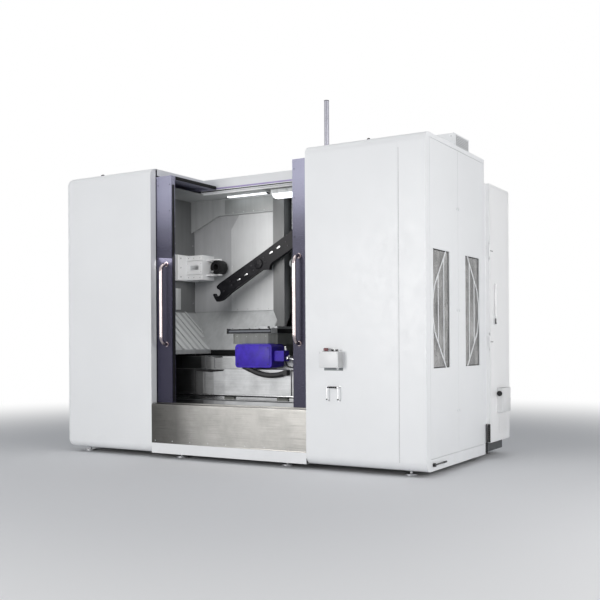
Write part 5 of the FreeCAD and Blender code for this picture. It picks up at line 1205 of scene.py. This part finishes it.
part = new_shape()
add_block(part, (2220, 2246), (1563.6, 1565.7), (175, 363), edge=0.6)
add_block(part, (2249.3, 2256.0), (1722, 1742), (1398, 1456), edge=1.2)
add_block(part, (2249.3, 2253.0), (1742, 1764), (1398, 1412), edge=0.8)
for z in (1212, 2150):
    for edge_y in (1578, 1606, 1634):
        add_block(part, (2249.3, 2250.6), (edge_y, edge_y + 20), (z - 4, z + 4), edge=0.4)
finish_piece(part, "cabinet_door_trim", "knob_black", "cabinet_leaf")

part = new_shape()
for y, low, high in ((1590, 190, 1430), (1590, 1860, 2824), (2180, 190, 2824)):
    add_block(part, (2249.3, 2250.8), (y, y + 6), (low, high), edge=0.5)
for z in (184, 2818):
    add_block(part, (2249.3, 2250.8), (1590, 2186), (z, z + 6), edge=0.5)
for z in range(250, 420, 18):
    add_block(part, (2249.3, 2251.4), (1830, 2110), (z, z + 9), edge=0.8)
finish_piece(part, "cabinet_door_bead", "cabinet_white", "cabinet_leaf")

part = new_shape()
add_block(part, (2304.3, 2306.6), (1800, 2044), (480, 716), edge=0.9)
add_screws(part, 2306.7, (1812, 2032), (492, 704), RIGHTWARD, 4.0, 1.8)
add_ring(part, (2272, 1789.7, 669), FORWARD, 10.5, 33, 1.6)
finish_piece(part, "switch_box_lid", "switch_grey", "cabinet_leaf")

# Painted shade: a grey sheet on the switch box's top.
block_piece("switch_box_top_shade", "vent_grey",
            ((2242, 2302), (1792, 2050), (725.3, 726.8), 0.5), body="cabinet_leaf")

# %% [markdown]
# ### Service bay, back and left side
#
# Behind the glass of the right side stand the oil chiller and the hydraulic unit. They get two
# gauges with dials, a ring on the tank, a sight strip and two hoses with brass ends, since they
# can be seen through the panes and when the doors are open. The back of the machine has louvres
# and lift-off handles, a strip closes its left corner, and the left side has a service hatch.

# %% Gauges and hoses of the service units
GAUGE_PLACES = (240, 330)

part = new_shape()
for y in GAUGE_PLACES:
    add_round(part, (2016.3, y, 1500), (2034, y, 1500), 32, sides=32, edge=2.0)
add_ring(part, (1800, 1240, 828.3), UPWARD, 10, 34, 26)
add_block(part, (2010.3, 2016), (1230, 1260), (200, 700), edge=1.5)
finish_piece(part, "service_gauges", "bright_screw")

part = new_shape()
for y in GAUGE_PLACES:
    add_round(part, (2034.2, y, 1500), (2035.4, y, 1500), 27, sides=32)
finish_piece(part, "service_dials", "lamp_white")

bent_piece("service_hoses", [
    [(1968, 410.3, end), (1968, 520, end), (1968, 640, bend), (1970, 860, middle), (1972, 980, end),
     (1972, 1089.7, end)] for end, bend, middle in ((600, 520, 500), (700, 790, 800))
], 16, "hose_black")

part = new_shape()
for z in (600, 700):
    add_ring(part, (1968, 410.3, z), BACKWARD, 16.3, 24, 34, sides=32)
    add_ring(part, (1972, 1089.7, z), FORWARD, 16.3, 24, 34, sides=32)
finish_piece(part, "service_hose_ends", "brass")

# %% Louvres, handles and screws of the back panels
LOUVRE_LEFTS = (-1450, -300, 900)
LOUVRE_LEAN = Matrix.Rotation(math.radians(28), 4, "X")
HANDLE_LEFTS = (-1650, -1090, -470, 90, 700, 1260)

part = new_shape()
for x in LOUVRE_LEFTS:
    for z in range(620, 620 + 14 * 30, 30):
        add_block(part, (x, x + 420), (2200.6, 2204.2), (z, z + 20), edge=0.8,
                  turn=LOUVRE_LEAN)
for x in LOUVRE_LEFTS:
    for low in (600, 1044):
        add_block(part, (x - 16, x + 436), (2200.3, 2203), (low, low + 8), edge=0.8)
    for side in (x - 16, x + 428):
        add_block(part, (side, side + 8), (2200.3, 2203), (608, 1044), edge=0.8)
finish_piece(part, "back_louvres", "panel_white")

part = new_shape()
for x in HANDLE_LEFTS:
    add_block(part, (x, x + 60), (2200.3, 2203), (1500, 1690), edge=1.0)
finish_piece(part, "back_handle_plates", "knob_black")
bent_piece("back_panel_handles", [[(x + 30, 2202, 1530), (x + 30, 2217, 1532), (x + 30, 2219, 1595),
                                   (x + 30, 2217, 1658), (x + 30, 2202, 1660)]
                                  for x in HANDLE_LEFTS], 6, "knob_black")

screw_piece("back_panel_screws", "bright_screw",
            ((-2050, -830, -760, 480, 560, 1700), 2200.2, range(180, 3040, 310), BACKWARD, 7.0, 3.2))

# %% Strip that closes the rear left corner
part = new_shape()
rounded = [(-2115 - 81.5 * math.sin(step * math.pi / 16), 140 - 81.5 * math.cos(step * math.pi / 16))
           for step in range(9)]
rounded += [(x, 3140 - z) for x, z in reversed(rounded)]
add_plate(part, [(-2090.3, 2196.7, 58.5)] + [(x, 2196.7, z) for x, z in rounded]
          + [(-2090.3, 2196.7, 3081.5)], (0, 3.1, 0))
finish_piece(part, "rear_corner_strip", "panel_white")

# %% Hatch on the left side
block_piece("left_hatch", "panel_white", ((-2203.2, -2200.3), (620, 1260), (900, 2100), 1.0))

part = new_shape()
for z in (960, 2040):
    add_round(part, (-2210, 606, z - 45), (-2210, 606, z + 45), 8, sides=24, edge=1.0)
    add_block(part, (-2206, -2200.3), (598, 618), (z - 38, z + 38), edge=1.0)
add_block(part, (-2209, -2203.4), (1205, 1235), (1440, 1560), edge=1.6)
add_screws(part, -2203.3, (636, 1244), (930, 1300, 1700, 2070), LEFTWARD, 6.0, 2.8)
finish_piece(part, "left_hatch_fittings", "black_screw")
print("all small parts placed")
